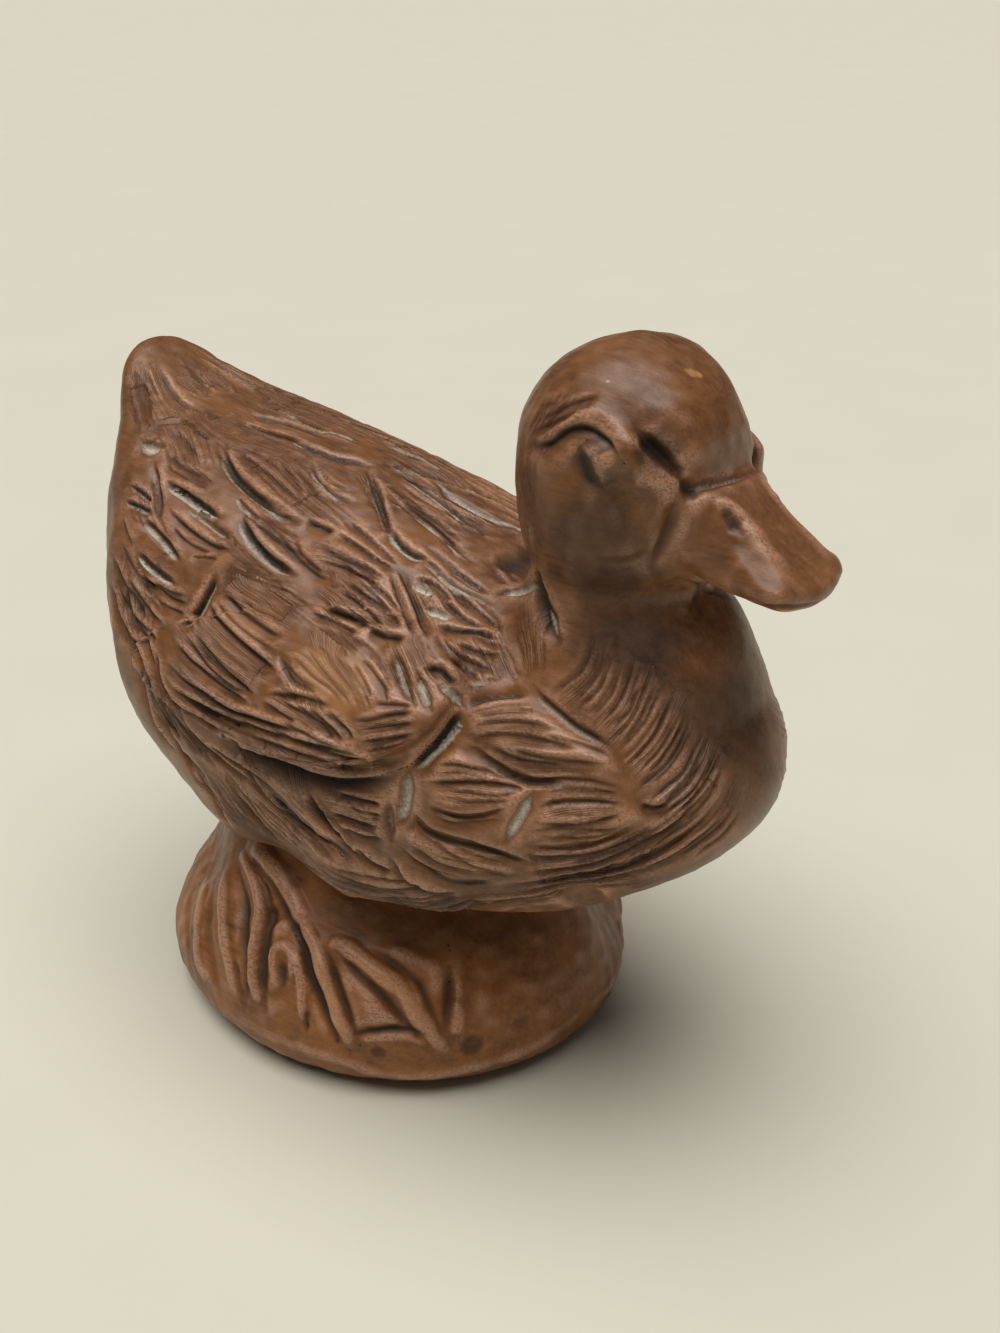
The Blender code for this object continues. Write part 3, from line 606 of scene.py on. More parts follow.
def carve_tail(skin):
    """Cuts and hatching on the upper side of the tail."""
    skin.draw_on(TAIL)
    skin.gouge([(255, 150), (275, 192), (300, 232), (335, 268), (385, 292)], 2.0, 0.8, 0.5)
    skin.gouge([(180, 160), (206, 206), (238, 252)], 1.3, 0.5)
    skin.gouge([(208, 150), (236, 200), (262, 252)], 1.2, 0.4)
    skin.gouge([(330, 120), (365, 165), (415, 205), (470, 236)], 1.3, 0.35)
    skin.gouge([(310, 350), (350, 400), (388, 448)], 1.4, 0.5)
    skin.gouge([(290, 436), (335, 476), (408, 512)], 1.4, 0.5)
    skin.gouge([(268, 468), (318, 500), (368, 524)], 1.3, 0.45)
    skin.gouge([(235, 448), (256, 520), (264, 590), (264, 645), (280, 688)], 2.2, 0.6, 0.5)
    skin.gouge([(440, 385), (458, 430), (470, 480)], 1.6, 0.35)
    # A broad swathe painted lighter over the tail, as painted light on its upper side.
    skin.crease([(180, 120), (280, 210), (420, 310)], 13, 0, bare=0.1)
    skin.crease([(198, 398), (232, 420), (266, 408)], 2.6, 1.0, chalk=0.9)
    skin.crease([(262, 336), (300, 330), (345, 332)], 1.6, 0.5, chalk=0.4)
    skin.barb_fan([(150, 130), (160, 250), (195, 380)], [(250, 80), (290, 190), (370, 290)], 9, 1.0, 0.4)
    skin.barb_fan([(230, 340), (270, 430), (300, 520)], [(420, 330), (440, 420), (470, 520)], 7, 1.0, 0.45)
    skin.barb_fan([(500, 440), (620, 560), (800, 690)], [(700, 440), (800, 560), (990, 720)], 9, 1.0, 0.45)
    skin.barb_fan([(480, 770), (600, 820), (740, 870)], [(460, 900), (560, 980), (660, 1030)], 6, 0.9, 0.35)
    skin.barb_fan([(800, 830), (930, 900), (1060, 1010)], [(760, 900), (880, 980), (1040, 1050)], 5, 0.9, 0.6)
    skin.barb_fan([(1000, 1050), (1040, 1150), (1080, 1280)],
                  [(1130, 1040), (1170, 1110), (1250, 1180)], 6, 1.0, 0.6)
    skin.barb_fan([(980, 480), (1150, 560), (1330, 720)],
                  [(1020, 560), (1150, 680), (1330, 820)], 7, 0.9, 0.45)
    skin.barb_fan([(420, 150), (700, 260), (1000, 380)], [(520, 330), (760, 400), (960, 470)], 8, 0.8, 0.2)
    skin.barb_fan([(150, 240), (172, 320), (192, 388)], [(205, 180), (228, 270), (238, 370)], 10, 0.79, 0.39)
    skin.barb_fan([(350, 165), (400, 200), (475, 230)], [(330, 215), (385, 255), (455, 280)], 8, 0.79, 0.39)


def carve_rump(skin):
    """Crescents on the side of the rump, the upper ones packed with filler."""
    skin.draw_on(TAIL)
    skin.gouge([(160, 535), (200, 560), (240, 592)], 1.7, 0.9, 0.6)
    skin.gouge([(142, 588), (190, 604), (240, 632)], 1.8, 0.9, 0.7)
    skin.gouge([(198, 640), (250, 686), (296, 738), (338, 802)], 2.3, 0.6, 0.9)
    skin.gouge([(182, 750), (228, 796), (280, 838), (330, 868)], 2.2, 0.6, 1.0)
    skin.gouge([(270, 522), (330, 556), (395, 600), (474, 656)], 2.6, 0.8, 1.0)
    skin.gouge([(340, 596), (398, 638), (450, 680), (518, 722)], 2.0, 0.5, 0.8)
    skin.gouge([(282, 606), (322, 652), (380, 700), (440, 735), (505, 748)], 1.8, 0.9)
    skin.gouge([(190, 822), (240, 868), (300, 908), (362, 930)], 1.8, 0.9)
    skin.gouge([(296, 660), (335, 712), (392, 746), (450, 762)], 1.6, 0.7)
    skin.gouge([(330, 690), (385, 724), (470, 742)], 1.3, 0.5)
    skin.gouge([(355, 775), (400, 772), (455, 778)], 1.4, 0.6)
    skin.gouge([(126, 690), (150, 760), (190, 830), (246, 900), (300, 946)], 1.9, 0.5)
    skin.gouge([(232, 850), (290, 886), (352, 902)], 1.5, 0.7)
    skin.gouge([(236, 900), (290, 938), (350, 962)], 1.5, 0.7)
    skin.gouge([(118, 870), (158, 945), (210, 1008), (262, 1050)], 1.8, 0.8)
    skin.gouge([(108, 760), (138, 850), (184, 920), (230, 1000)], 1.7, 0.8)
    skin.gouge([(150, 830), (190, 900), (232, 960), (282, 1002)], 1.6, 0.8)
    skin.gouge([(140, 640), (150, 690), (176, 740)], 1.4, 0.5)
    skin.barb_fan([(100, 800), (130, 900), (190, 1000)], [(230, 880), (270, 940), (310, 980)], 12, 0.88, 0.45)
    skin.barb_fan([(150, 560), (160, 620), (200, 690)], [(250, 560), (260, 640), (300, 720)], 8, 0.88, 0.39)
    skin.barb_fan([(280, 470), (340, 520), (420, 560)], [(300, 420), (380, 480), (450, 540)], 7, 0.79, 0.26)
    skin.draw_on(WING)
    skin.gouge([(96, 60), (130, 190), (190, 310), (222, 420)], 2.0, 1.2)
    skin.gouge([(136, 50), (168, 170), (226, 290), (244, 380)], 1.7, 1.0)
    skin.gouge([(190, 310), (206, 420), (246, 540), (330, 650)], 2.0, 1.1)
    skin.barb_fan([(88, 40), (112, 190), (176, 330)], [(230, 60), (236, 200), (262, 330)], 12, 1.0, 0.5)
    skin.barb_fan([(180, 320), (220, 460), (300, 600)], [(262, 360), (310, 480), (400, 620)], 8, 1.0, 0.5)


def carve_back(skin):
    """Long edges of the back's feathers, the last of them only on the seen side."""
    skin.draw_on(TAIL)
    skin.gouge([(440, 380), (470, 412), (482, 455), (512, 512), (562, 562), (622, 606), (692, 646),
                (760, 668)], 2.8, 0.8, 0.7)
    skin.gouge([(735, 650), (785, 672), (836, 692)], 1.8, 0.9, 0.4)
    skin.gouge([(505, 560), (545, 612), (600, 655)], 1.8, 0.5, 0.8)
    skin.gouge([(520, 620), (556, 700), (608, 764), (662, 806), (728, 842)], 2.8, 0.8, 0.9)
    skin.gouge([(500, 318), (560, 352), (640, 378), (705, 396), (785, 430), (840, 452)], 2.0, 0.4, 0.7)
    skin.gouge([(490, 418), (560, 458), (622, 504), (682, 556), (736, 606)], 1.5, 0.6)
    skin.gouge([(478, 398), (562, 428), (640, 476), (700, 536), (745, 592)], 1.3, 0.4)
    skin.gouge([(752, 468), (786, 520), (822, 556), (872, 586), (912, 592)], 2.3, 0.6, 0.7)
    skin.gouge([(655, 462), (700, 516), (736, 572)], 1.4, 0.5)
    skin.gouge([(690, 476), (742, 520), (784, 572), (836, 604)], 1.4, 0.5)
    skin.gouge([(936, 478), (964, 550), (986, 612), (1006, 672), (1024, 728)], 2.3, 0.6, 0.6)
    skin.gouge([(1010, 676), (1050, 728), (1092, 762), (1148, 780)], 2.2, 1.1, 1.0)
    skin.gouge([(962, 550), (1040, 600), (1102, 640), (1162, 682), (1222, 740), (1272, 780),
                (1336, 814)], 2.1, 0.4, 0.8)
    skin.gouge([(1090, 756), (1160, 808), (1232, 868), (1302, 900), (1376, 944)], 2.1, 0.4, 0.7)
    skin.gouge([(1060, 590), (1142, 636), (1246, 722)], 1.4, 0.5, 0.3)
    skin.gouge([(1196, 796), (1270, 848), (1346, 902)], 1.5, 0.6, 0.6)
    skin.gouge([(1130, 730), (1190, 780), (1250, 830)], 1.3, 0.5, 0.4)
    skin.gouge([(1240, 620), (1290, 670), (1340, 730)], 1.3, 0.4, 0.3)
    skin.barb_fan([(560, 480), (620, 540), (690, 610)], [(700, 440), (760, 500), (830, 570)], 10, 0.88, 0.33)
    skin.barb_fan([(560, 600), (640, 660), (740, 720)], [(600, 690), (680, 760), (760, 810)], 7, 0.88, 0.33)
    skin.barb_fan([(880, 490), (930, 560), (980, 640)], [(960, 500), (990, 560), (1010, 640)], 3, 0.88, 0.39)
    skin.barb_fan([(420, 700), (520, 790), (640, 870)], [(480, 680), (560, 770), (660, 850)], 5, 0.79, 0.26)
    skin.barb_fan([(420, 330), (480, 350), (560, 390)],
                  [(480, 260), (600, 290), (740, 330)], 8, 0.79, 0.26, 0.6)
    skin.draw_on(TAIL, both_sides=False)
    skin.gouge([(545, 306), (640, 324), (722, 350), (838, 398)], 1.7, 0.7, 0.6)
    skin.gouge([(690, 392), (760, 420), (845, 450), (905, 462), (966, 482)], 1.9, 0.9, 0.6)
    skin.gouge([(1000, 478), (1080, 518), (1142, 560), (1202, 602), (1262, 652), (1316, 706)], 1.9, 0.8, 0.8)
    skin.barb_fan([(620, 300), (760, 345), (900, 400)],
                  [(860, 310), (1080, 395), (1300, 545)], 12, 0.88, 0.29, 0.6)
    skin.barb_fan([(960, 420), (1080, 480), (1200, 560)],
                  [(1120, 430), (1240, 500), (1400, 620)], 10, 0.88, 0.29, 0.6)


def carve_scapulars(skin):
    """Feathers over the root of the wing."""
    skin.draw_on(TAIL)
    skin.lobe([(690, 690), (820, 690), (960, 740), (1050, 830), (1080, 1020), (960, 1000), (820, 900),
               (720, 800)], 0.5, 4)
    for stroke in (
        [(826, 690), (910, 738), (972, 782), (1040, 822)],
        [(776, 724), (850, 776), (932, 806), (1010, 858)],
        [(1075, 842), (1130, 846), (1180, 872), (1226, 930)],
        [(1176, 898), (1222, 940), (1266, 980), (1340, 1002)],
    ):
        skin.gouge(stroke, 1.5, 0.8)
    skin.gouge([(860, 648), (932, 700), (1002, 762), (1046, 806)], 1.4, 0.7)
    skin.gouge([(770, 788), (852, 804), (914, 832), (1012, 890)], 1.7, 0.5)
    skin.gouge([(640, 690), (700, 760), (762, 820), (826, 858)], 1.6, 0.8)
    skin.gouge([(694, 722), (750, 790), (808, 836)], 1.4, 0.6)
    skin.gouge([(560, 650), (640, 712), (722, 792), (770, 836)], 1.4, 0.5)
    for stroke in (
        [(866, 856), (950, 910), (1020, 968), (1064, 1012)],
        [(836, 876), (920, 930), (1004, 1008)],
        [(1186, 1040), (1262, 1102), (1352, 1148)],
    ):
        skin.gouge(stroke, 1.4, 0.8)
    for stroke in (
        [(900, 846), (982, 916), (1056, 1002)],
        [(930, 850), (1000, 900), (1060, 970)],
        [(1230, 1048), (1300, 1080), (1380, 1096)],
    ):
        skin.gouge(stroke, 1.3, 0.7)
    skin.gouge([(788, 930), (850, 950), (905, 968), (960, 1000)], 2.2, 1.3, 0.2)
    skin.gouge([(740, 954), (802, 968), (872, 1002), (916, 1024)], 1.6, 0.8, 0.4)
    skin.gouge([(1196, 856), (1272, 920), (1340, 980), (1376, 1012)], 1.6, 0.8, 0.4)
    skin.gouge([(940, 1006), (1004, 1030), (1066, 1036)], 2.0, 1.1)
    skin.gouge([(1030, 796), (1058, 852), (1088, 920), (1112, 984), (1144, 1054)], 1.8, 1.0, 0.4, lean=-1)
    skin.gouge([(1012, 816), (1036, 900), (1060, 962), (1090, 1040)], 1.5, 0.7, 0.3, lean=-1)
    skin.gouge([(1156, 990), (1232, 1010), (1302, 1014), (1374, 1046)], 1.8, 1.0, 0.5)
    skin.gouge([(1160, 1012), (1204, 1084), (1262, 1140), (1322, 1192)], 1.8, 0.5)
    skin.gouge([(1270, 1010), (1330, 1050), (1390, 1070)], 1.2, 0.6, 0.3)
    skin.gouge([(1290, 900), (1340, 950), (1385, 1000)], 1.2, 0.5, 0.4)
    skin.crease([(1078, 856), (1120, 876), (1160, 892)], 1.7, 1.0, chalk=1.0)
    skin.crease([(1116, 942), (1170, 956), (1216, 974)], 1.5, 0.9, chalk=1.0)
    skin.barb_fan([(1120, 800), (1200, 850), (1300, 960)],
                  [(1060, 850), (1100, 960), (1150, 1020)], 5, 0.88, 0.45)
    skin.barb_fan([(770, 700), (850, 740), (1000, 850)],
                  [(840, 860), (930, 930), (1040, 1010)], 15, 0.88, 0.52)
    skin.barb_fan([(1180, 1060), (1240, 1130), (1320, 1200)],
                  [(1240, 1040), (1320, 1100), (1400, 1150)], 8, 0.88, 0.45)


def carve_wing(skin):
    """Long feathers of the wing, the rounded patch among them and the undercut edge."""
    skin.draw_on(WING)
    skin.lobe([(655, 290), (740, 248), (850, 290), (960, 360), (1000, 450), (950, 520), (860, 510),
               (740, 440), (668, 380)], 0.7, 4)
    skin.gouge([(448, 40), (408, 112), (372, 178), (312, 226)], 2.2, 1.2, 0.7, lean=-1)
    skin.gouge([(412, 118), (440, 180), (492, 240), (552, 292), (612, 340), (656, 374)], 2.0, 1.1)
    skin.gouge([(276, 318), (330, 388), (402, 440), (472, 488), (562, 520), (652, 546), (760, 572)], 2.0, 1.1)
    skin.gouge([(462, 100), (530, 168), (600, 220), (668, 256)], 2.0, 1.0, 0.3)
    skin.gouge([(430, 118), (500, 200), (580, 262), (650, 300)], 1.5, 0.5)
    skin.gouge([(372, 232), (420, 308), (482, 370), (542, 420), (590, 456)], 1.9, 1.0)
    skin.gouge([(298, 244), (350, 320), (430, 390), (502, 440), (572, 482)], 1.9, 1.0)
    skin.gouge([(340, 236), (392, 318), (450, 380), (510, 428), (560, 462)], 1.6, 0.8)
    skin.gouge([(264, 350), (300, 420), (380, 470), (452, 510), (562, 552), (702, 592), (832, 622),
                (950, 640)], 2.1, 1.1)
    skin.gouge([(268, 436), (330, 490), (402, 532), (474, 574)], 1.8, 0.9)
    skin.gouge([(560, 516), (652, 568), (762, 618), (872, 650), (982, 656), (1064, 640)], 1.8, 0.9)
    skin.gouge([(440, 560), (540, 620), (640, 664), (742, 702), (842, 726), (962, 718),
                (1050, 690)], 3.2, 1.8)
    skin.gouge([(480, 540), (580, 584), (690, 628), (800, 664), (920, 684), (1020, 672)], 1.7, 0.8)
    skin.gouge([(648, 292), (662, 350), (700, 404), (786, 440)], 1.6, 0.8, lean=-1)
    for stroke in (
        [(690, 300), (760, 378), (822, 424), (874, 494)],
        [(738, 284), (800, 366), (862, 438), (904, 504)],
        [(800, 490), (850, 540), (900, 590)],
        [(880, 526), (950, 520), (1020, 502), (1096, 494)],
        [(900, 556), (1010, 540), (1104, 530)],
        [(910, 596), (1020, 580), (1096, 566)],
    ):
        skin.gouge(stroke, 1.3, 0.7)
    skin.gouge([(786, 292), (840, 358), (892, 430), (924, 512)], 1.3, 0.75)
    skin.gouge([(826, 300), (872, 368), (912, 440), (942, 512)], 1.3, 0.75)
    skin.gouge([(858, 322), (902, 386), (936, 446), (950, 504)], 1.2, 0.7)
    for stroke in (
        [(896, 340), (930, 398), (960, 460)],
        [(664, 330), (722, 388), (786, 424)],
        [(930, 622), (1010, 612), (1078, 590)],
        [(960, 470), (1030, 470), (1090, 476)],
    ):
        skin.gouge(stroke, 1.2, 0.6)
    skin.gouge([(924, 322), (970, 380), (1016, 444)], 1.3, 0.6)
    for stroke in (
        [(950, 360), (985, 410), (1010, 470)],
        [(700, 290), (770, 340), (840, 420), (880, 470)],
        [(760, 270), (820, 320), (870, 400)],
    ):
        skin.gouge(stroke, 1.1, 0.5)
    skin.gouge([(600, 436), (682, 440), (762, 458), (830, 484)], 1.6, 0.9)
    skin.gouge([(636, 450), (722, 498), (800, 542), (856, 590)], 1.5, 0.8)
    skin.gouge([(690, 456), (762, 518), (838, 592)], 1.4, 0.8)
    skin.gouge([(740, 474), (802, 536), (868, 600)], 1.4, 0.8)
    skin.gouge([(590, 456), (652, 500), (712, 536)], 1.4, 0.7)
    skin.gouge([(640, 520), (720, 560), (800, 600), (870, 620)], 1.4, 0.6)
    skin.gouge([(1116, 356), (1176, 352), (1244, 414)], 2.2, 1.2)
    skin.gouge([(1252, 478), (1212, 538), (1162, 598), (1104, 656), (1070, 690)], 2.6, 1.5, 1.0, lean=-1)
    # Painted shadow under the wing's undercut edge, in this shallow crease.
    skin.crease([(470, 590), (560, 644), (660, 690), (760, 722), (880, 738), (980, 726),
                 (1054, 696)], 3.0, 0.5, stain=0.8)
    # The first swathe is a painted highlight on the wing's rounded patch; the second is worn paler wood on
    # the upper wing.
    skin.crease([(700, 300), (800, 370), (880, 440), (930, 500)], 9, 0, bare=0.6)
    skin.crease([(480, 110), (580, 180), (660, 230)], 9, 0, bare=0.14)
    # A patch of painted shade where the wing's lower edge begins.
    skin.spot(466, 578, 0.55, skin.stain, 1.0)
    skin.crease([(1022, 290), (1040, 360), (1062, 420), (1092, 472)], 1.9, 0.9, chalk=0.55)
    skin.crease([(1102, 372), (1122, 440), (1142, 490)], 1.7, 0.9, chalk=0.8)
    skin.crease([(1162, 398), (1212, 430), (1252, 482)], 1.7, 0.9, chalk=0.9)
    skin.crease([(1076, 684), (1066, 740), (1062, 790), (1042, 846), (1004, 872)], 2.3, 1.1, chalk=0.8)
    # This crease holds painted shade as well as filler.
    skin.crease([(1010, 800), (1006, 850), (1020, 910)], 1.8, 0.9, chalk=0.5, stain=0.4)
    skin.barb_fan([(420, 130), (500, 230), (640, 350)], [(330, 220), (440, 350), (600, 470)], 9, 0.9, 0.4)
    skin.barb_fan([(300, 300), (430, 430), (640, 540)], [(270, 350), (400, 480), (640, 590)], 6, 0.9, 0.45)
    skin.barb_fan([(500, 130), (600, 190), (690, 240)],
                  [(660, 90), (760, 160), (840, 230)], 8, 0.9, 0.22, 0.6)
    skin.barb_fan([(600, 470), (700, 520), (800, 590)], [(800, 470), (860, 530), (910, 600)], 9, 0.9, 0.45)
    skin.barb_fan([(900, 500), (1000, 490), (1090, 480)], [(920, 640), (1010, 620), (1070, 600)], 9, 0.8, 0.4)
    skin.barb_fan([(470, 530), (640, 600), (900, 660)], [(520, 600), (680, 670), (920, 710)], 7, 0.9, 0.5)
    skin.barb_fan([(400, 130), (470, 220), (600, 330)], [(300, 250), (420, 380), (580, 480)], 10, 0.88, 0.45)
    skin.barb_fan([(280, 380), (400, 480), (600, 560)], [(290, 450), (420, 545), (600, 625)], 7, 0.88, 0.52)
    skin.barb_fan([(700, 590), (830, 625), (960, 640)], [(690, 670), (830, 705), (980, 690)], 8, 0.88, 0.52)
    skin.barb_fan([(680, 300), (780, 390), (880, 480)], [(880, 320), (930, 400), (970, 480)], 17, 0.7, 0.45)
    skin.barb_fan([(460, 90), (560, 150), (660, 200)], [(560, 60), (640, 110), (720, 170)], 5, 0.79, 0.2)
    skin.barb_fan([(740, 190), (820, 250), (900, 320)], [(900, 240), (970, 300), (1020, 360)], 10, 0.88, 0.45)
    skin.barb_fan([(930, 300), (980, 360), (1020, 430)],
                  [(1010, 290), (1030, 350), (1050, 420)], 5, 0.88, 0.45)


def carve_flank(skin):
    """Feathers under the wing, two of them raised."""
    skin.draw_on(WING)
    skin.lobe([(590, 690), (680, 716), (738, 742), (800, 830), (930, 960), (800, 920), (680, 830)], 0.6, 3)
    skin.lobe([(756, 740), (860, 760), (1000, 760), (1000, 850), (1010, 920), (900, 880), (810, 820)], 0.6, 3)
    skin.gouge([(732, 734), (770, 800), (822, 862), (882, 922), (946, 974)], 2.0, 0.9)
    skin.gouge([(588, 740), (680, 820), (762, 880), (856, 934), (940, 980)], 2.0, 0.9, lean=-1)
    for stroke in (
        [(620, 788), (702, 846), (802, 906), (900, 960)],
        [(400, 590), (480, 650), (560, 700), (640, 760)],
        [(846, 870), (930, 902), (1004, 914)],
    ):
        skin.gouge(stroke, 1.5, 1.05)
    skin.gouge([(440, 650), (520, 750), (602, 850), (702, 936), (800, 1000)], 2.2, 0.75)
    for stroke in (
        [(500, 640), (560, 720), (640, 810), (730, 880)],
        [(700, 940), (820, 1010), (960, 1050), (1100, 1060)],
        [(560, 920), (650, 1000), (760, 1070), (880, 1110)],
    ):
        skin.gouge(stroke, 1.8, 1.2)
    skin.gouge([(380, 680), (440, 790), (502, 884), (560, 950)], 2.0, 1.3)
    skin.gouge([(640, 960), (760, 1030), (900, 1080), (1050, 1102)], 2.0, 1.3)
    skin.gouge([(300, 560), (360, 660), (430, 760), (490, 850)], 1.9, 0.6)
    skin.gouge([(210, 330), (230, 430), (280, 520), (340, 590)], 1.9, 0.6)
    skin.gouge([(240, 480), (290, 560), (350, 640), (420, 720)], 1.9, 1.2)
    skin.gouge([(250, 300), (262, 400), (300, 470)], 1.6, 1.05)
    skin.gouge([(340, 540), (420, 620), (500, 690), (580, 740)], 1.7, 1.2)
    skin.gouge([(820, 768), (912, 788), (996, 800)], 1.5, 1.2)
    skin.gouge([(810, 826), (900, 852), (984, 872)], 1.6, 1.2)
    skin.gouge([(900, 930), (960, 970), (1040, 1000)], 1.6, 1.2)
    skin.gouge([(860, 800), (930, 820), (995, 836)], 1.3, 0.75)
    skin.gouge([(1030, 1090), (1120, 1130), (1220, 1140), (1330, 1110)], 1.9, 1.3)
    # A swathe of painted shade low on the flank, under the wing.
    skin.crease([(450, 790), (560, 880), (680, 960), (770, 1000)], 6, 0, stain=0.65)
    skin.barb_fan([(440, 700), (540, 830), (680, 960)], [(600, 770), (720, 870), (880, 970)], 12, 0.97, 0.77)
    skin.barb_fan([(230, 380), (290, 520), (400, 680)], [(290, 480), (380, 580), (500, 700)], 10, 0.97, 0.68)
    skin.barb_fan([(330, 640), (420, 780), (520, 900)], [(450, 680), (540, 800), (650, 920)], 10, 0.97, 0.68)
    skin.barb_fan([(780, 760), (880, 790), (990, 810)], [(820, 840), (900, 880), (1000, 900)], 7, 0.79, 0.59)
    skin.barb_fan([(620, 720), (680, 770), (760, 850)], [(690, 725), (750, 790), (840, 890)], 5, 0.79, 0.43)
    skin.barb_fan([(760, 980), (900, 1030), (1060, 1050)],
                  [(720, 1040), (880, 1100), (1060, 1130)], 8, 0.88, 0.68)
    skin.barb_fan([(470, 640), (560, 740), (680, 850)], [(590, 700), (680, 790), (800, 890)], 9, 0.9, 0.59)
    skin.barb_fan([(610, 720), (700, 800), (860, 920)], [(740, 740), (820, 830), (940, 950)], 8, 0.8, 0.45)
    skin.barb_fan([(770, 750), (880, 765), (990, 775)], [(830, 850), (920, 890), (1010, 920)], 10, 0.8, 0.52)
    skin.barb_fan([(600, 900), (760, 1000), (960, 1060)],
                  [(620, 980), (800, 1080), (1020, 1130)], 11, 0.9, 0.65)
    skin.barb_fan([(960, 1000), (1120, 1060), (1300, 1080)],
                  [(980, 1100), (1140, 1150), (1340, 1130)], 9, 0.9, 0.59)


def carve_shoulder(skin):
    """Raised feathers of the shoulder with cuts in them, and the long cuts below."""
    skin.draw_on(BREAST)
    skin.lobe([(262, 420), (272, 342), (380, 312), (478, 304), (560, 362), (660, 424), (742, 474), (780, 560),
               (600, 548), (480, 548), (380, 500)], 0.9, 3.2)
    skin.lobe([(120, 560), (160, 500), (240, 450), (330, 520), (430, 566), (560, 580), (480, 620), (440, 680),
               (400, 690), (250, 690), (150, 650)], 0.7, 3.0)
    skin.lobe([(62, 730), (110, 690), (180, 740), (300, 780), (420, 830), (440, 866), (300, 872), (180, 836),
               (90, 780)], 0.8, 2.4)
    skin.lobe([(490, 640), (600, 606), (780, 620), (860, 680), (740, 760), (560, 780), (430, 770),
               (470, 690)], 0.5, 3.0)
    skin.gouge([(262, 340), (330, 314), (402, 304), (476, 298)], 1.7, 0.9, 0.2, lean=-1)
    skin.gouge([(470, 250), (510, 304), (562, 350), (612, 392), (682, 432), (746, 476)], 2.3, 0.7, 0.6)
    skin.gouge([(270, 402), (360, 386), (462, 386), (566, 404)], 1.5, 0.7)
    skin.gouge([(276, 432), (370, 420), (472, 430), (562, 450), (656, 474)], 1.6, 0.9)
    skin.gouge([(430, 796), (562, 810), (702, 790), (870, 716)], 1.6, 0.9)
    for stroke in (
        [(330, 448), (420, 492), (520, 508), (610, 516)],
        [(390, 456), (480, 486), (572, 500), (724, 512)],
        [(474, 694), (562, 702), (662, 700), (770, 660)],
    ):
        skin.gouge(stroke, 1.5, 0.8)
    for stroke in (
        [(500, 420), (590, 440), (680, 470), (730, 500)],
        [(220, 630), (300, 632), (380, 628), (440, 620)],
        [(500, 590), (600, 590), (690, 600), (780, 612)],
        [(500, 740), (600, 748), (720, 736), (830, 690)],
        [(88, 750), (170, 808), (262, 848), (350, 866)],
        [(130, 716), (232, 770), (332, 812), (440, 836)],
        [(640, 868), (780, 828), (900, 750), (980, 670)],
        [(500, 876), (640, 858), (780, 816)],
    ):
        skin.gouge(stroke, 1.3, 0.6)
    skin.gouge([(420, 350), (480, 346), (540, 370)], 1.2, 0.4)
    skin.gouge([(300, 372), (400, 356), (500, 358)], 1.2, 0.4)
    skin.gouge([(238, 420), (300, 470), (362, 512), (432, 552), (502, 566), (602, 562), (702, 576),
                (800, 604)], 2.5, 0.8, 0.5)
    for stroke in (
        [(150, 520), (232, 514), (332, 540), (440, 572)],
        [(196, 602), (282, 600), (362, 610), (466, 602)],
        [(458, 724), (562, 714), (702, 722), (790, 700)],
        [(110, 716), (200, 780), (302, 830), (410, 862)],
        [(560, 836), (680, 810), (800, 770), (890, 710)],
    ):
        skin.gouge(stroke, 1.4, 0.7)
    skin.gouge([(168, 546), (262, 540), (340, 556)], 1.2, 0.6)
    skin.gouge([(124, 566), (202, 570), (302, 570), (402, 582), (486, 602)], 1.9, 1.1, 0.4)
    skin.gouge([(124, 636), (200, 666), (282, 672), (382, 652), (430, 640)], 2.0, 0.6)
    skin.gouge([(136, 660), (220, 700), (292, 692), (404, 690)], 1.5, 0.7, 0.2)
    skin.gouge([(484, 650), (562, 634), (652, 630), (778, 640)], 2.0, 1.1, 0.6)
    skin.gouge([(500, 670), (590, 668), (690, 672), (760, 656)], 1.2, 0.5)
    skin.gouge([(448, 768), (562, 778), (702, 752), (850, 696)], 1.8, 0.5)
    skin.gouge([(810, 640), (860, 652), (912, 640)], 1.6, 0.9, 0.3)
    skin.gouge([(94, 640), (140, 716), (230, 752), (322, 772), (422, 812), (512, 834)], 2.6, 0.8, 0.3)
    skin.gouge([(50, 750), (92, 790), (150, 826), (220, 876), (300, 884), (380, 874)], 2.2, 0.6)
    skin.gouge([(34, 790), (90, 850), (170, 890), (260, 910)], 2.0, 1.0)
    skin.gouge([(300, 896), (450, 890), (602, 870), (762, 840), (902, 770), (1002, 700), (1062, 622),
                (1088, 540)], 1.9, 0.5)
    skin.gouge([(420, 856), (560, 850), (700, 824), (840, 760), (940, 690), (1010, 610)], 1.7, 0.9)
    skin.gouge([(340, 920), (480, 914), (642, 892), (822, 850), (962, 780), (1080, 680),
                (1130, 590)], 1.8, 0.9)
    skin.gouge([(60, 950), (160, 998), (300, 1000), (440, 964)], 1.8, 0.9)
    skin.gouge([(200, 930), (330, 944), (480, 936), (640, 916), (800, 880)], 1.9, 0.9)
    skin.gouge([(820, 860), (940, 806), (1050, 730), (1120, 640)], 1.4, 0.6)
    skin.gouge([(40, 920), (140, 960), (280, 966), (420, 940)], 1.7, 0.8)
    skin.crease([(476, 608), (450, 660), (422, 712), (394, 762)], 1.7, 0.9, chalk=1.0)
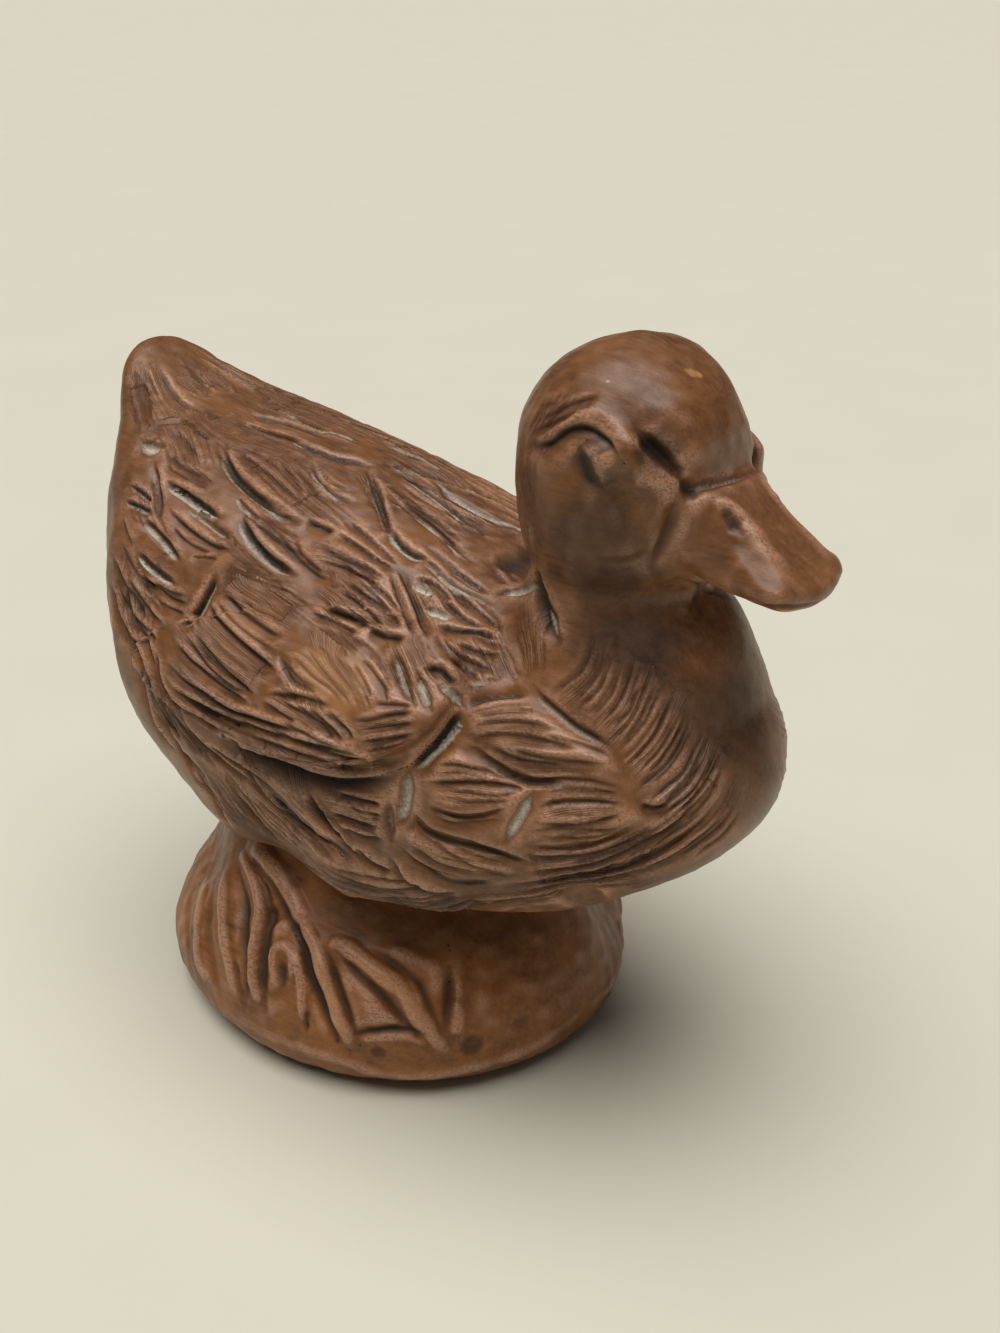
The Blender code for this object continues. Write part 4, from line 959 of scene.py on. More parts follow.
    # Swathes of painted highlight on the shoulder's raised feathers.
    for swathe in ([(280, 380), (480, 430), (700, 480)], [(160, 540), (300, 560), (440, 590)],
                   [(140, 640), (280, 640), (400, 640)], [(500, 670), (640, 650), (760, 640)],
                   [(90, 740), (220, 800), (380, 850)], [(460, 740), (600, 740), (780, 690)]):
        skin.crease(swathe, 5, 0, bare=0.2)
    skin.barb_fan([(270, 380), (420, 370), (560, 390)], [(330, 470), (500, 500), (720, 510)], 12, 0.79, 0.52)
    skin.barb_fan([(150, 510), (260, 510), (420, 560)], [(150, 660), (270, 680), (420, 660)], 14, 0.79, 0.52)
    skin.barb_fan([(100, 720), (220, 780), (420, 830)], [(80, 770), (200, 840), (350, 870)], 8, 0.79, 0.52)
    skin.barb_fan([(490, 650), (620, 630), (770, 640)], [(450, 780), (600, 790), (820, 710)], 14, 0.79, 0.52)
    skin.barb_fan([(440, 850), (700, 810), (980, 640)], [(300, 940), (700, 900), (1120, 620)], 17, 0.88, 0.52)
    skin.barb_fan([(280, 350), (400, 325), (490, 330)], [(300, 420), (480, 420), (640, 460)], 8, 0.8, 0.35)
    skin.barb_fan([(340, 470), (480, 500), (640, 505)], [(440, 545), (600, 545), (760, 570)], 7, 0.8, 0.4)
    skin.barb_fan([(490, 600), (640, 590), (790, 610)], [(500, 640), (640, 625), (780, 630)], 5, 0.8, 0.35)
    skin.barb_fan([(430, 780), (640, 790), (880, 690)], [(420, 860), (700, 840), (960, 680)], 11, 0.9, 0.5)
    skin.barb_fan([(200, 900), (480, 900), (800, 840)], [(220, 980), (520, 950), (860, 880)], 10, 0.9, 0.5)
    skin.barb_fan([(40, 800), (140, 880), (280, 920)], [(30, 880), (140, 960), (300, 980)], 8, 0.9, 0.5)


def carve_breast(skin):
    """Hatching of the breast, the fullness of the belly, painted shade on the throat, under the belly and on
    the far side of the breast, and painted highlights on the near breast.
    """
    skin.draw_on(BREAST)
    skin.barb_fan([(660, 90), (640, 200), (520, 300)], [(740, 140), (700, 270), (590, 380)], 5, 1.0, 0.7)
    skin.barb_fan([(750, 140), (700, 280), (600, 390)], [(900, 230), (830, 400), (720, 520)], 9, 1.0, 0.85)
    skin.barb_fan([(915, 240), (840, 410), (730, 530)], [(1010, 350), (930, 520), (800, 630)], 7, 1.0, 0.9)
    skin.barb_fan([(1025, 370), (950, 530), (820, 650)], [(1100, 500), (1030, 650), (880, 760)], 7, 1.0, 0.85)
    skin.barb_fan([(1115, 520), (1050, 670), (900, 780)], [(1160, 600), (1100, 730), (960, 830)], 4, 1.0, 0.6)
    skin.barb_fan([(190, 100), (250, 190), (290, 290)], [(390, 110), (430, 190), (460, 270)], 8, 1.0, 0.6)
    skin.draw_on(ROCK)
    skin.swell([(440, 110), (620, 170), (800, 208), (980, 240)], 13, 2.6)
    skin.swell([(1250, 262), (1400, 236)], 9, -1.2)
    # Painted shade along the underside of the belly.
    skin.crease([(470, 130), (640, 184), (800, 220), (960, 250), (1150, 270)], 6, 0, stain=0.75)
    skin.barb_fan([(420, 60), (640, 140), (900, 190)], [(500, 150), (700, 205), (960, 248)], 6, 1.2, 0.7)
    skin.draw_on(BREAST)
    # Painted shade on the side of the breast that faces away from the lamp.
    skin.crease([(1110, 160), (1170, 320), (1180, 470), (1140, 600)], 19, 0, stain=0.7)
    # Swathes of painted highlight on the near breast.
    for stroke in ([(300, 390), (450, 370), (600, 430)], [(180, 520), (330, 520), (460, 560)],
                   [(540, 610), (650, 600), (760, 630)], [(470, 700), (620, 690), (820, 700)],
                   [(100, 760), (250, 800), (380, 850)], [(640, 250), (800, 400), (900, 560)]):
        skin.crease(stroke, 7, 0, bare=0.14)
    # Painted shade on the throat.
    skin.crease([(600, 60), (720, 110), (860, 130), (1000, 110)], 13, 0, stain=0.78)
    skin.barb_fan([(470, 790), (760, 760), (930, 670), (1030, 560)],
                  [(560, 900), (860, 850), (1050, 730), (1140, 600)], 9, 0.9, 0.5)
    skin.barb_fan([(400, 60), (440, 160), (450, 250)], [(520, 100), (520, 200), (490, 280)], 5, 1.0, 0.4)


def carve_head(skin):
    """Eye and brow, the pit before the eye, cheek, crown and the root of the neck."""
    skin.draw_on(HEAD)
    skin.swell([(560, 640), (690, 690), (830, 660)], 15, 0.7)
    skin.swell([(540, 352), (620, 304), (690, 300), (750, 344), (800, 430)], 2.6, 0.7)
    skin.swell([(770, 490), (850, 486), (912, 534), (960, 556)], 4.2, 1.1)
    skin.swell([(800, 560), (900, 600)], 6.0, 0.4)
    skin.lobe(EYE_OUTLINE, 0.5, 3.0)
    skin.swell([(700, 410), (732, 460)], 3.2, 0.4)
    skin.lobe([(796, 336), (850, 344), (912, 390), (960, 462), (950, 516), (900, 500), (846, 454),
               (804, 396)], -1.6, 2.2)
    skin.gouge([(448, 402), (530, 384), (580, 348), (640, 334), (700, 366), (764, 440)], 1.8, 1.0, lean=1)
    skin.gouge([(500, 314), (600, 262), (692, 236)], 1.2, 0.45)
    skin.gouge([(470, 352), (560, 312), (640, 280)], 1.2, 0.4)
    # Broad swathes of painted shade on the cheek, under the jaw and on the back of the head.
    skin.crease([(540, 560), (640, 640), (760, 660), (850, 640)], 17, 0, stain=0.72)
    skin.crease([(560, 780), (700, 810), (860, 800)], 14, 0, stain=0.78)
    skin.crease([(470, 450), (480, 560), (500, 680)], 8, 0, stain=0.35)
    # Painted shade in the crease around the eye's back and lower edge.
    skin.crease([(626, 396), (634, 452), (662, 502), (702, 526)], 2.4, 0.5, stain=0.9)
    # A painted highlight on the eye.
    skin.crease([(704, 396), (734, 440), (742, 490)], 2.6, 0, bare=0.25)
    # Painted shade in these creases: the brow's groove, the pit before the eye, the root of the bill, the
    # corner of the mouth, the lower cheek and under the chin.
    skin.crease([(528, 384), (580, 352), (630, 340), (676, 344)], 1.5, 0.7, stain=0.8)
    skin.crease([(818, 364), (868, 412), (918, 472)], 5.2, 0.3, stain=1.0)
    skin.crease([(934, 496), (964, 532), (1004, 542)], 1.8, 0.8, stain=0.8)
    skin.crease([(922, 580), (908, 640), (884, 706), (846, 776)], 1.7, 0.7, stain=0.6)
    skin.crease([(690, 746), (770, 742), (850, 720)], 0.9, 0.35, stain=0.5)
    skin.crease([(560, 820), (690, 866), (850, 860), (1000, 850)], 6.0, 0.8, stain=0.25)
    skin.crease([(462, 440), (470, 402), (520, 386)], 1.1, 0.3, chalk=0.4)
    skin.crease([(468, 650), (466, 668)], 1.0, 0.3, chalk=0.7)
    skin.barb_fan([(452, 392), (480, 310), (548, 216)], [(540, 374), (600, 300), (700, 234)], 20, 0.79, 0.45)
    skin.barb_fan([(440, 420), (444, 500), (452, 590)], [(500, 420), (490, 500), (496, 600)], 7, 0.7, 0.2)
    skin.draw_on(HEAD, both_sides=False)
    skin.swell([(830, 240), (930, 310), (985, 420), (1000, 500)], 7.0, 0.6)
    skin.crease([(925, 552), (1010, 524), (1060, 512), (1110, 498), (1190, 470)], 1.1, 0.6, chalk=0.55)
    # Painted highlights on the brow.
    for across, down, size, strength in ((978, 166, 0.8, 0.7), (1000, 171, 0.6, 0.9), (964, 160, 0.45, 0.5)):
        skin.spot(across, down, size, skin.bare, strength)
    skin.spot(715, 192, 0.35, skin.chalk, 0.7)
    skin.draw_on(HEAD)
    skin.gouge([(350, 760), (376, 800), (400, 830)], 1.2, 0.7)
    skin.gouge([(376, 740), (408, 790), (440, 824)], 1.2, 0.7)
    skin.gouge([(400, 720), (436, 770), (470, 810)], 1.2, 0.6)
    # Painted shade in the first and third of these creases, low on the back of the head and down the neck;
    # the third also holds some filler, the second and fourth only filler.
    skin.crease([(360, 772), (420, 760), (470, 740)], 4.5, 1.0, stain=0.9)
    skin.crease([(376, 858), (430, 846), (494, 834)], 1.7, 1.0, chalk=1.0)
    skin.crease([(494, 800), (500, 880), (530, 950), (556, 1000)], 2.8, 1.4, chalk=0.3, stain=0.8)
    skin.crease([(506, 900), (540, 960), (560, 1002)], 1.2, 0.6, chalk=0.8)


def carve_bill(skin):
    """Hollow sides, nostril and the line of the mouth."""
    skin.draw_on(HEAD)
    skin.lobe([(1040, 560), (1075, 575), (1160, 660), (1250, 790), (1280, 850), (1180, 880), (1050, 840),
               (960, 790), (930, 700), (950, 600)], -0.5, 3.0)
    skin.swell([(1030, 536), (1160, 650), (1250, 770), (1300, 850)], 3.0, 0.4)
    skin.swell([(1060, 560), (1140, 640)], 2.0, 0.3)
    skin.swell([(960, 640), (1040, 700), (1110, 780)], 7.0, -0.5)
    # Painted shade in the nostril and along the line of the mouth.
    skin.crease([(1076, 584), (1100, 620), (1132, 664)], 1.7, 0.9, chalk=0.35, stain=0.6)
    skin.crease([(900, 800), (1000, 836), (1080, 866), (1180, 898), (1300, 900),
                 (1390, 880)], 1.0, 0.5, stain=0.6)
    skin.barb_fan([(1180, 560), (1130, 620), (1100, 640)],
                  [(1420, 780), (1330, 820), (1280, 830)], 14, 0.8, 0.05, 0.25)
    skin.draw_on(HEAD, both_sides=False)
    # A painted highlight on the bill's tip.
    skin.spot(1405, 826, 0.9, skin.bare, 0.2)


def carve_rock(wood):
    """Foot with its toes and web, and the folds of the rock."""
    wood.draw_on(ROCK)
    wood.lobe([(450, 330), (560, 350), (700, 372), (820, 410), (892, 450), (896, 560), (900, 690), (830, 660),
               (740, 664), (620, 676), (590, 690), (520, 520)], 0.8, 2.6)
    wood.swell([(600, 440), (650, 540), (700, 610)], 4.0, 0.35)
    wood.swell([(780, 460), (850, 540), (866, 640)], 4.0, -0.5)
    wood.swell([(930, 570), (930, 680)], 2.6, 0.7)
    wood.swell([(352, 260), (370, 330)], 4.0, -0.9)
    wood.swell([(60, 500), (290, 650), (560, 750), (760, 800), (980, 772), (1200, 690),
                (1400, 520)], 3.0, 0.5)
    wood.ridge([(296, 80), (350, 150), (406, 240), (446, 330)], 5.0, 1.2)
    wood.ridge([(440, 316), (476, 380), (500, 440), (520, 500), (542, 560), (568, 624),
                (600, 700)], 3.2, 1.3, 3)
    wood.ridge([(562, 384), (640, 438), (700, 486), (756, 528), (790, 580), (832, 646),
                (884, 712)], 3.2, 1.3, 3)
    wood.ridge([(626, 690), (680, 676), (740, 674), (790, 678), (842, 698)], 2.2, 0.6)
    wood.ridge([(720, 402), (800, 424), (872, 460)], 2.6, 0.4)
    wood.ridge([(790, 500), (812, 556), (824, 610)], 1.6, 0.5)
    wood.ridge([(262, 110), (300, 200), (312, 290), (296, 380), (284, 480), (304, 548)], 2.4, 1.0)
    wood.ridge([(346, 470), (352, 410), (384, 392), (412, 420), (414, 480)], 1.5, 0.7)
    wood.ridge([(424, 420), (442, 500), (448, 590), (470, 650)], 1.8, 0.7)
    wood.ridge([(200, 180), (196, 300), (210, 420), (238, 520)], 3.0, 0.6)
    wood.ridge([(140, 200), (118, 320), (120, 430), (150, 500)], 3.4, 0.5)
    # Painted shade across the top of the rock, under the body.
    wood.crease([(520, 296), (700, 306), (900, 326), (1100, 330), (1320, 310)], 9, 0, stain=0.6)
    # Painted highlights along the toes and on their knuckles.
    for toe in (
        [(460, 350), (500, 440), (542, 560), (590, 680)],
        [(590, 400), (700, 486), (780, 570), (850, 670)],
    ):
        wood.crease(toe, 1.9, 0, bare=0.3)
    for across, down in ((500, 424), (524, 500), (548, 566), (574, 632),
                         (640, 436), (706, 486), (762, 530), (806, 594)):
        wood.spot(across, down, 0.8, wood.bare, 0.5)
    # Painted shade in the creases below that are given it: beside the toes, at the web's edges and in the
    # folds of the rock.
    wood.crease([(300, 130), (350, 190), (400, 290), (442, 372), (470, 470), (510, 580),
                 (556, 690)], 1.7, 1.2, stain=0.9)
    wood.crease([(530, 420), (562, 510), (592, 600), (614, 664)], 1.5, 0.8, stain=0.6)
    wood.crease([(556, 400), (620, 476), (690, 540), (750, 610), (810, 680)], 1.4, 0.8, stain=0.6)
    wood.crease([(630, 396), (720, 440), (800, 500), (846, 580), (880, 660)], 1.2, 0.5, stain=0.4)
    wood.crease([(612, 668), (740, 656), (832, 664)], 1.1, 0.7, stain=0.7)
    wood.crease([(906, 460), (906, 560), (902, 650)], 1.8, 0.9, stain=0.6)
    wood.crease([(960, 420), (970, 520), (960, 640)], 3.0, 0.5)
    wood.crease([(246, 160), (266, 260), (262, 380), (272, 480), (264, 590)], 1.8, 1.0, stain=0.5)
    wood.crease([(334, 200), (340, 300), (326, 400), (318, 500), (330, 590)], 2.2, 1.0, stain=0.5)
    wood.crease([(380, 440), (384, 520)], 1.8, 0.7, stain=0.6)
    wood.crease([(460, 590), (460, 662)], 1.1, 0.8, stain=0.8)
    wood.crease([(168, 200), (150, 330), (166, 460), (190, 540)], 2.6, 0.5, stain=0.2)
    wood.crease([(230, 430), (244, 500), (262, 580)], 1.6, 0.6, stain=0.4)
    wood.crease([(96, 240), (84, 340), (96, 440)], 2.4, 0.4)
    # Patches of painted shade on the rock under the overhanging body.
    wood.spot(684, 728, 1.35, wood.stain, 0.7)
    wood.spot(978, 708, 2.1, wood.stain, 0.75)
    wood.spot(1130, 640, 1.5, wood.stain, 0.3)
    wood.spot(1000, 500, 1.0, wood.stain, 0.2)
    wood.barb_fan([(1000, 420), (1150, 470), (1330, 420)],
                  [(1020, 640), (1180, 600), (1360, 520)], 10, 1.0, 0.06, 0.3)
    wood.barb_fan([(90, 500), (260, 610), (440, 690)],
                  [(100, 560), (300, 690), (560, 760)], 5, 1.0, 0.06, 0.3)


# Pieces

def in_box(points, node, margin):
    """Points within a CAD node's box, with a margin in millimetres."""
    low, high = (np.array(corner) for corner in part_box(node))
    return ((points > low - margin * MM) & (points < high + margin * MM)).all(axis=1)


def seen_within(centres, sheet, outline, node, margin):
    """Which faces are seen inside an outline on a sheet, close to a CAD node."""
    within, _ = inside(sheet.pixels(folded(centres)), outline)
    return within & in_box(centres, node, margin)


def keep_field(mesh, name, kind, key, values):
    attribute = mesh.attributes.new(name, kind, "POINT")
    attribute.data.foreach_set(key, values.astype(np.float32).ravel())


def kept_field(mesh, name, key, width=1):
    """The numbers of an attribute."""
    attribute = mesh.attributes[name]
    values = np.empty(len(attribute.data) * width, np.float32)
    attribute.data.foreach_get(key, values)
    return values.reshape(-1, width) if width > 1 else values


class Whole:
    """A carved surface that is divided into pieces: every face has the number of its part."""

    def __init__(self, carver, numbers):
        mesh = carver.mesh
        self.points, self.facing = vectors(mesh.vertices, "co"), vectors(mesh.vertices, "normal")
        self.inward = -carver.normals
        self.fields = carver.fields
        self.numbers = numbers
        corners = np.empty(len(mesh.loops), int)
        mesh.loops.foreach_get("vertex_index", corners)
        self.quads = corners.reshape(-1, 4)
        self.lowest = np.full(len(self.points), numbers.max())
        self.highest = np.full(len(self.points), numbers.min())
        np.minimum.at(self.lowest, corners, np.repeat(numbers, 4))
        np.maximum.at(self.highest, corners, np.repeat(numbers, 4))

    def faces_of(self, parts):
        """The points that some parts use, and their faces with those points counted afresh."""
        used, faces = np.unique(self.quads[np.isin(self.numbers, parts)], return_inverse=True)
        return used, faces.reshape(-1, 4)

    def let_in(self, name, part, depth):
        """A part as a piece with a back of its own, and a pocket for it in what is left."""
        used, front = self.faces_of([part])
        sunk = used[self.lowest[used] == self.highest[used]]
        behind = np.arange(len(used))
        behind[np.searchsorted(used, sunk)] = len(used) + np.arange(len(sunk))
        back = self.points[sunk] + self.inward[sunk] * POCKET_FILL * depth * MM
        facing = np.vstack([self.facing[used], -self.facing[sunk]])
        faces = np.vstack([front, behind[front][:, ::-1]])
        points = np.vstack([self.points[used], back])
        self.points[sunk] += self.inward[sunk] * depth * MM
        return self.make(name, points, faces.tolist(), np.append(used, sunk), facing)

    def cut_off(self, name, *parts):
        """Some parts as a piece, with its cut ends closed a little inside."""
        used, faces = self.faces_of(parts)
        points, source, faces_made = self.points[used], used, faces.tolist()
        edges = np.vstack([faces[:, (k, (k + 1) % 4)] for k in range(4)])
        there, back = edges @ (len(used), 1), edges @ (1, len(used))
        rim = edges[~np.isin(there, back)]
        seams = self.lowest[used[rim[:, 0]]]
        for seam in np.unique(seams):
            ring = rim[seams == seam]
            outer, inner = np.unique(ring, return_inverse=True)
            inner = inner.reshape(-1, 2) + len(points)
            below = self.points[used[outer]] + self.inward[used[outer]] * RIM_DEPTH
            middle = len(points) + len(outer)
            faces_made += [(b, a, c, d) for (a, b), (c, d) in zip(ring.tolist(), inner.tolist())]
            faces_made += [(d, c, middle) for c, d in inner.tolist()]
            points = np.vstack([points, below, below.mean(axis=0)])
            source = np.concatenate([source, used[outer], used[outer[:1]]])
        return self.make(name, points, faces_made, source, self.facing[source])

    def make(self, name, points, faces, source, facing):
        mesh = bpy.data.meshes.new(name)
        mesh.from_pydata(points.tolist(), [], faces)
        for key, values in self.fields.items():
            keep_field(mesh, key, "FLOAT", "value", values[source])
        keep_field(mesh, "seam", "FLOAT", "value", (self.lowest != self.highest)[source])
        keep_field(mesh, "facing", "FLOAT_VECTOR", "vector", facing)
        piece = bpy.data.objects.new(name, mesh)
        bpy.context.scene.collection.objects.link(piece)
        return piece


def thin(piece):
    """Brings a piece under the set number of triangles, and leaves its seams as they are."""
    triangles = sum(len(polygon.vertices) - 2 for polygon in piece.data.polygons)
    if triangles > MOST_TRIANGLES:
        group = piece.vertex_groups.new(name="free")
        group.add(np.nonzero(kept_field(piece.data, "seam", "value") < 0.5)[0].tolist(), 1.0, "REPLACE")
        apply_modifier(piece, "DECIMATE", ratio=MOST_TRIANGLES / triangles, vertex_group="free")
        piece.vertex_groups.clear()


def dress(piece, material, node):
    """Gives a finished piece its material, the shading of the whole carving and its place in the model."""
    piece.data.materials.append(material)
    thin(piece)
    piece.data.shade_smooth()
    facing = kept_field(piece.data, "facing", "vector", 3)
    piece.data.normals_split_custom_set_from_vertices(facing.tolist())
    for spent in ("seam", "facing"):
        piece.data.attributes.remove(piece.data.attributes[spent])
    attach(piece, "root")
    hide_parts(node)


# Finishes

class Signal:
    """A value in a material. Arithmetic on it adds Math nodes."""

    def __init__(self, finish, socket):
        self.finish, self.socket = finish, socket

    def sum(self, operation, first, second, clamp=False):
        settings = {"operation": operation, "use_clamp": clamp}
        return self.finish.node("ShaderNodeMath", settings, {0: first, 1: second})

    def __add__(self, other):
        return self.sum("ADD", self, other)

    def __radd__(self, other):
        return self.sum("ADD", other, self)

    def __sub__(self, other):
        return self.sum("SUBTRACT", self, other)

    def __rsub__(self, other):
        return self.sum("SUBTRACT", other, self)

    def __mul__(self, other):
        return self.sum("MULTIPLY", self, other)

    def __rmul__(self, other):
        return self.sum("MULTIPLY", other, self)

    def clamped(self):
        return self.sum("ADD", self, 0.0, clamp=True)


class Finish:
    """A material in the making."""

    def __init__(self, name):
        self.material = bpy.data.materials.new(name)
        self.material.use_nodes = True
        self.tree = self.material.node_tree
        self.shader = self.tree.nodes["Principled BSDF"]

    def node(self, kind, settings, sockets, output=0):
        made = self.tree.nodes.new(kind)
        stops = settings.pop("stops", None)
        for key, value in settings.items():
            setattr(made, key, value)
        if stops:
            for element, (place, shade) in zip(made.color_ramp.elements, stops):
                element.position = place
                element.color = (shade, shade, shade, 1)
        for key, value in sockets.items():
            self.feed(made.inputs[key], value)
        return Signal(self, made.outputs[output])

    def feed(self, socket, value):
        if isinstance(value, Signal):
            self.tree.links.new(value.socket, socket)
        else:
            socket.default_value = value

    def mix(self, share, first, second):
        """From the first colour to the second, by socket numbers, because a Mix node repeats its names."""
        settings = {"data_type": "RGBA", "clamp_factor": True}
        return self.node("ShaderNodeMix", settings, {0: share, 6: first, 7: second}, output=2)

    def place(self, stretch):
        """Millimetres on the piece, drawn out along its grain."""
        spot = self.node("ShaderNodeTexCoord", {}, {}, output="Object")
        return self.node("ShaderNodeMapping", {}, {"Vector": spot, "Scale": [1000 * s for s in stretch]})

    def noise(self, stretch, scale, detail, roughness=0.55):
        sockets = {"Vector": self.place(stretch), "Scale": scale, "Detail": detail, "Roughness": roughness}
        return self.node("ShaderNodeTexNoise", {}, sockets)

    def noise_along(self, signal, scale, detail):
        """Noise that changes with one value."""
        sockets = {"W": signal, "Scale": scale, "Detail": detail}
        return self.node("ShaderNodeTexNoise", {"noise_dimensions": "1D"}, sockets)

    def band(self, signal, low, high):
        """0 below low, 1 above high."""
        stops = [(low, 0.0), (high, 1.0)]
        return self.node("ShaderNodeValToRGB", {"stops": stops}, {"Fac": signal})

    def attribute(self, name):
        return self.node("ShaderNodeAttribute", {"attribute_name": name}, {}, output="Fac")

    def bump(self, height, distance, strength, under=None):
        sockets = {"Height": height, "Distance": distance * MM, "Strength": strength}
        if under:
            sockets["Normal"] = under
        return self.node("ShaderNodeBump", {}, sockets)

    def close(self, **sockets):
        for key, value in sockets.items():
            self.feed(self.shader.inputs[key.replace("_", " ")], value)
        return self.material


def linear(value):
    """One number of a colour, 0 to 255 as an eye reads it, as the renderer counts it."""
    share = value / 255
    return share / 12.92 if value <= 10 else ((share + 0.055) / 1.055) ** 2.4


def srgb(red, green, blue):
    return (linear(red), linear(green), linear(blue), 1.0)


EVEN = (1, 1, 1)
# Crests worn paler and lightened further as a painted highlight.
CREST_WEAR_AND_HIGHLIGHT = srgb(196, 150, 122)
# Staining gathered in hollows, darkened further as painted shade.
HOLLOW_STAIN_AND_SHADE = srgb(36, 23, 16)
# The tool's lines: staining in the cuts and painted shadow of their steep walls.
LINE_STAIN_AND_SHADOW = srgb(20, 13, 9)
# Painted shade, with some staining, for the swathes and patches drawn in the carving steps.
SHADE_AND_STAIN_DARK = srgb(22, 15, 11)
FILLER = srgb(212, 206, 188)
# Worn paler wood, also used as a painted highlight on lit places.
WORN_WOOD_AND_HIGHLIGHT = srgb(190, 136, 88)
SHEEN = 0.38

# The stains: dark, middle and light, and how rough the smooth wood is
STAINS = {
    "stained_wood": (srgb(82, 52, 31), srgb(126, 82, 48), srgb(148, 98, 58), 0.29),
    "base_wood": (srgb(96, 58, 29), srgb(146, 92, 47), srgb(172, 110, 55), 0.36),
    "bill_wood": (srgb(98, 62, 38), srgb(132, 88, 54), srgb(148, 100, 62), 0.28),
    "eye_wood": (srgb(70, 47, 33), srgb(96, 66, 46), srgb(112, 76, 52), 0.30),
}


def stained_wood(name, dark, middle, light, smooth):
    """Stained carving: dark in the tool's lines with staining and painted shadow, hollows darkened with
    staining and painted shade, crests worn paler with a painted highlight, swathes of painted shade and of
    painted highlight, chalky filler in places.
    """
    finish = Finish(name)
    fields = ("hollow", "crest", "line", "chalk", "stain", "bare", "hair", "haired")
    hollow, crest, line, chalk, stain, bare, hair, haired = (finish.attribute(field) for field in fields)
    clouds = finish.band(finish.noise(EVEN, 0.11, 3), 0.34, 0.66)
    grain = finish.noise((0.1, 1, 1), 1.3, 5, 0.65)
    streaks = finish.band(grain, 0.38, 0.68)
    pores = finish.noise((0.4, 1, 1), 3.4, 3)
    colour = finish.mix(clouds, dark, middle)
    colour = finish.mix(streaks * 0.5, colour, light)
    colour = finish.mix(finish.band(pores, 0.52, 0.74) * 0.35, colour, dark)
    # Painted highlight on the crests together with their wear.
    rubbed_and_highlit = (crest * finish.band(pores, 0.25, 0.6)).clamped()
    colour = finish.mix(rubbed_and_highlit * 0.8, colour, CREST_WEAR_AND_HIGHLIGHT)
    hairs = finish.noise_along(hair, 1.6, 2.0)
    hairlines = (1.0 - finish.band(hairs, 0.36, 0.56)) * haired
    colour = finish.mix(hairlines * 0.4, colour, dark)
    # Hollows darkened: staining gathered there and painted shade.
    colour = finish.mix(finish.band(hollow, 0.1, 0.9) * 0.7, colour, HOLLOW_STAIN_AND_SHADE)
    # Dark lines of the cuts: painted shadow of the steep walls with staining; these are rougher too.
    line_stain_and_shadow = finish.band(line, 0.15, 0.8)
    colour = finish.mix(line_stain_and_shadow * 0.92, colour, LINE_STAIN_AND_SHADOW)
    # Painted shade, with some staining, from the swathes and patches of the carving steps; rougher too.
    colour = finish.mix(stain * 0.85, colour, SHADE_AND_STAIN_DARK)
    flecks = finish.noise(EVEN, 2.0, 4, 0.75)
    packed = finish.band(chalk * (0.1 + 1.7 * flecks), 0.35, 1.0)
    colour = finish.mix(packed * 0.88, colour, FILLER)
    # Worn paler wood on the upper wing, and painted highlights on the wing's patch, shoulders, breast, tail,
    # brow, eye, bill tip and toes.
    colour = finish.mix(bare, colour, WORN_WOOD_AND_HIGHLIGHT)
    roughness = smooth + 0.16 * pores + 0.25 * line_stain_and_shadow + 0.3 * packed + 0.3 * stain - 0.08 * crest
    normal = finish.bump(grain, 0.10, 0.4)
    normal = finish.bump(pores, 0.05, 0.4, normal)
    normal = finish.bump(hairs * haired, 0.3, 0.8, normal)
    return finish.close(Base_Color=colour, Roughness=roughness, Normal=normal, Specular_IOR_Level=SHEEN)


def bare_wood():
    """Pale dowel wood with its grain along the length."""
    finish = Finish("dowel_wood")
    grain = finish.noise((1, 1, 0.12), 1.2, 4)
    colour = finish.mix(finish.band(grain, 0.35, 0.7), srgb(206, 166, 118), srgb(172, 128, 84))
    return finish.close(Base_Color=colour, Roughness=0.55 + 0.2 * grain, Normal=finish.bump(grain, 0.1, 0.5))


def felt():
    """Dark matted felt."""
    finish = Finish("felt")
    fibres = finish.noise(EVEN, 2.5, 5, 0.75)
    colour = finish.mix(finish.band(fibres, 0.3, 0.7), srgb(30, 32, 28), srgb(58, 60, 52))
    roughness = 0.9 + 0.1 * fibres
    return finish.close(Base_Color=colour, Roughness=roughness, Normal=finish.bump(fibres, 0.2, 0.8))


# Stage

FLOOR_SIZE = 30
LAMP_STRENGTH, LAMP_WIDTH = 3.1, math.radians(60)
LAMP_DIRECTION = (0.03, 0.14, -1)
ROOM_STRENGTH = 0.08
WARM_WHITE = (1.0, 0.98, 0.95)


def add_camera():
    data = bpy.data.cameras.new("camera")
    data.lens = data.sensor_width * FOCAL_PIXELS / VIEW_HEIGHT
    data.clip_start = 0.01
    obj = bpy.data.objects.new("camera", data)
    turn = Matrix((RIGHT, UP, BACK)).transposed().to_4x4()
    obj.matrix_world = Matrix.Translation(EYE_POINT) @ turn
    bpy.context.scene.collection.objects.link(obj)
    bpy.context.scene.camera = obj


def add_floor():
    deselect()
    bpy.ops.mesh.primitive_plane_add(size=FLOOR_SIZE)
    floor = bpy.context.object
    floor.name = "floor"
    finish = Finish("floor")
    clouds = finish.noise((0.02, 0.02, 0.02), 1.0, 3)
    colour = finish.mix(clouds, srgb(214, 211, 194), srgb(219, 216, 199))
    floor.data.materials.append(finish.close(Base_Color=colour, Roughness=0.85))


def add_room_light():
    world = bpy.data.worlds.new("room")
    bpy.context.scene.world = world
    world.use_nodes = True
    background = world.node_tree.nodes["Background"]
    background.inputs["Color"].default_value = (*WARM_WHITE, 1.0)
    background.inputs["Strength"].default_value = ROOM_STRENGTH


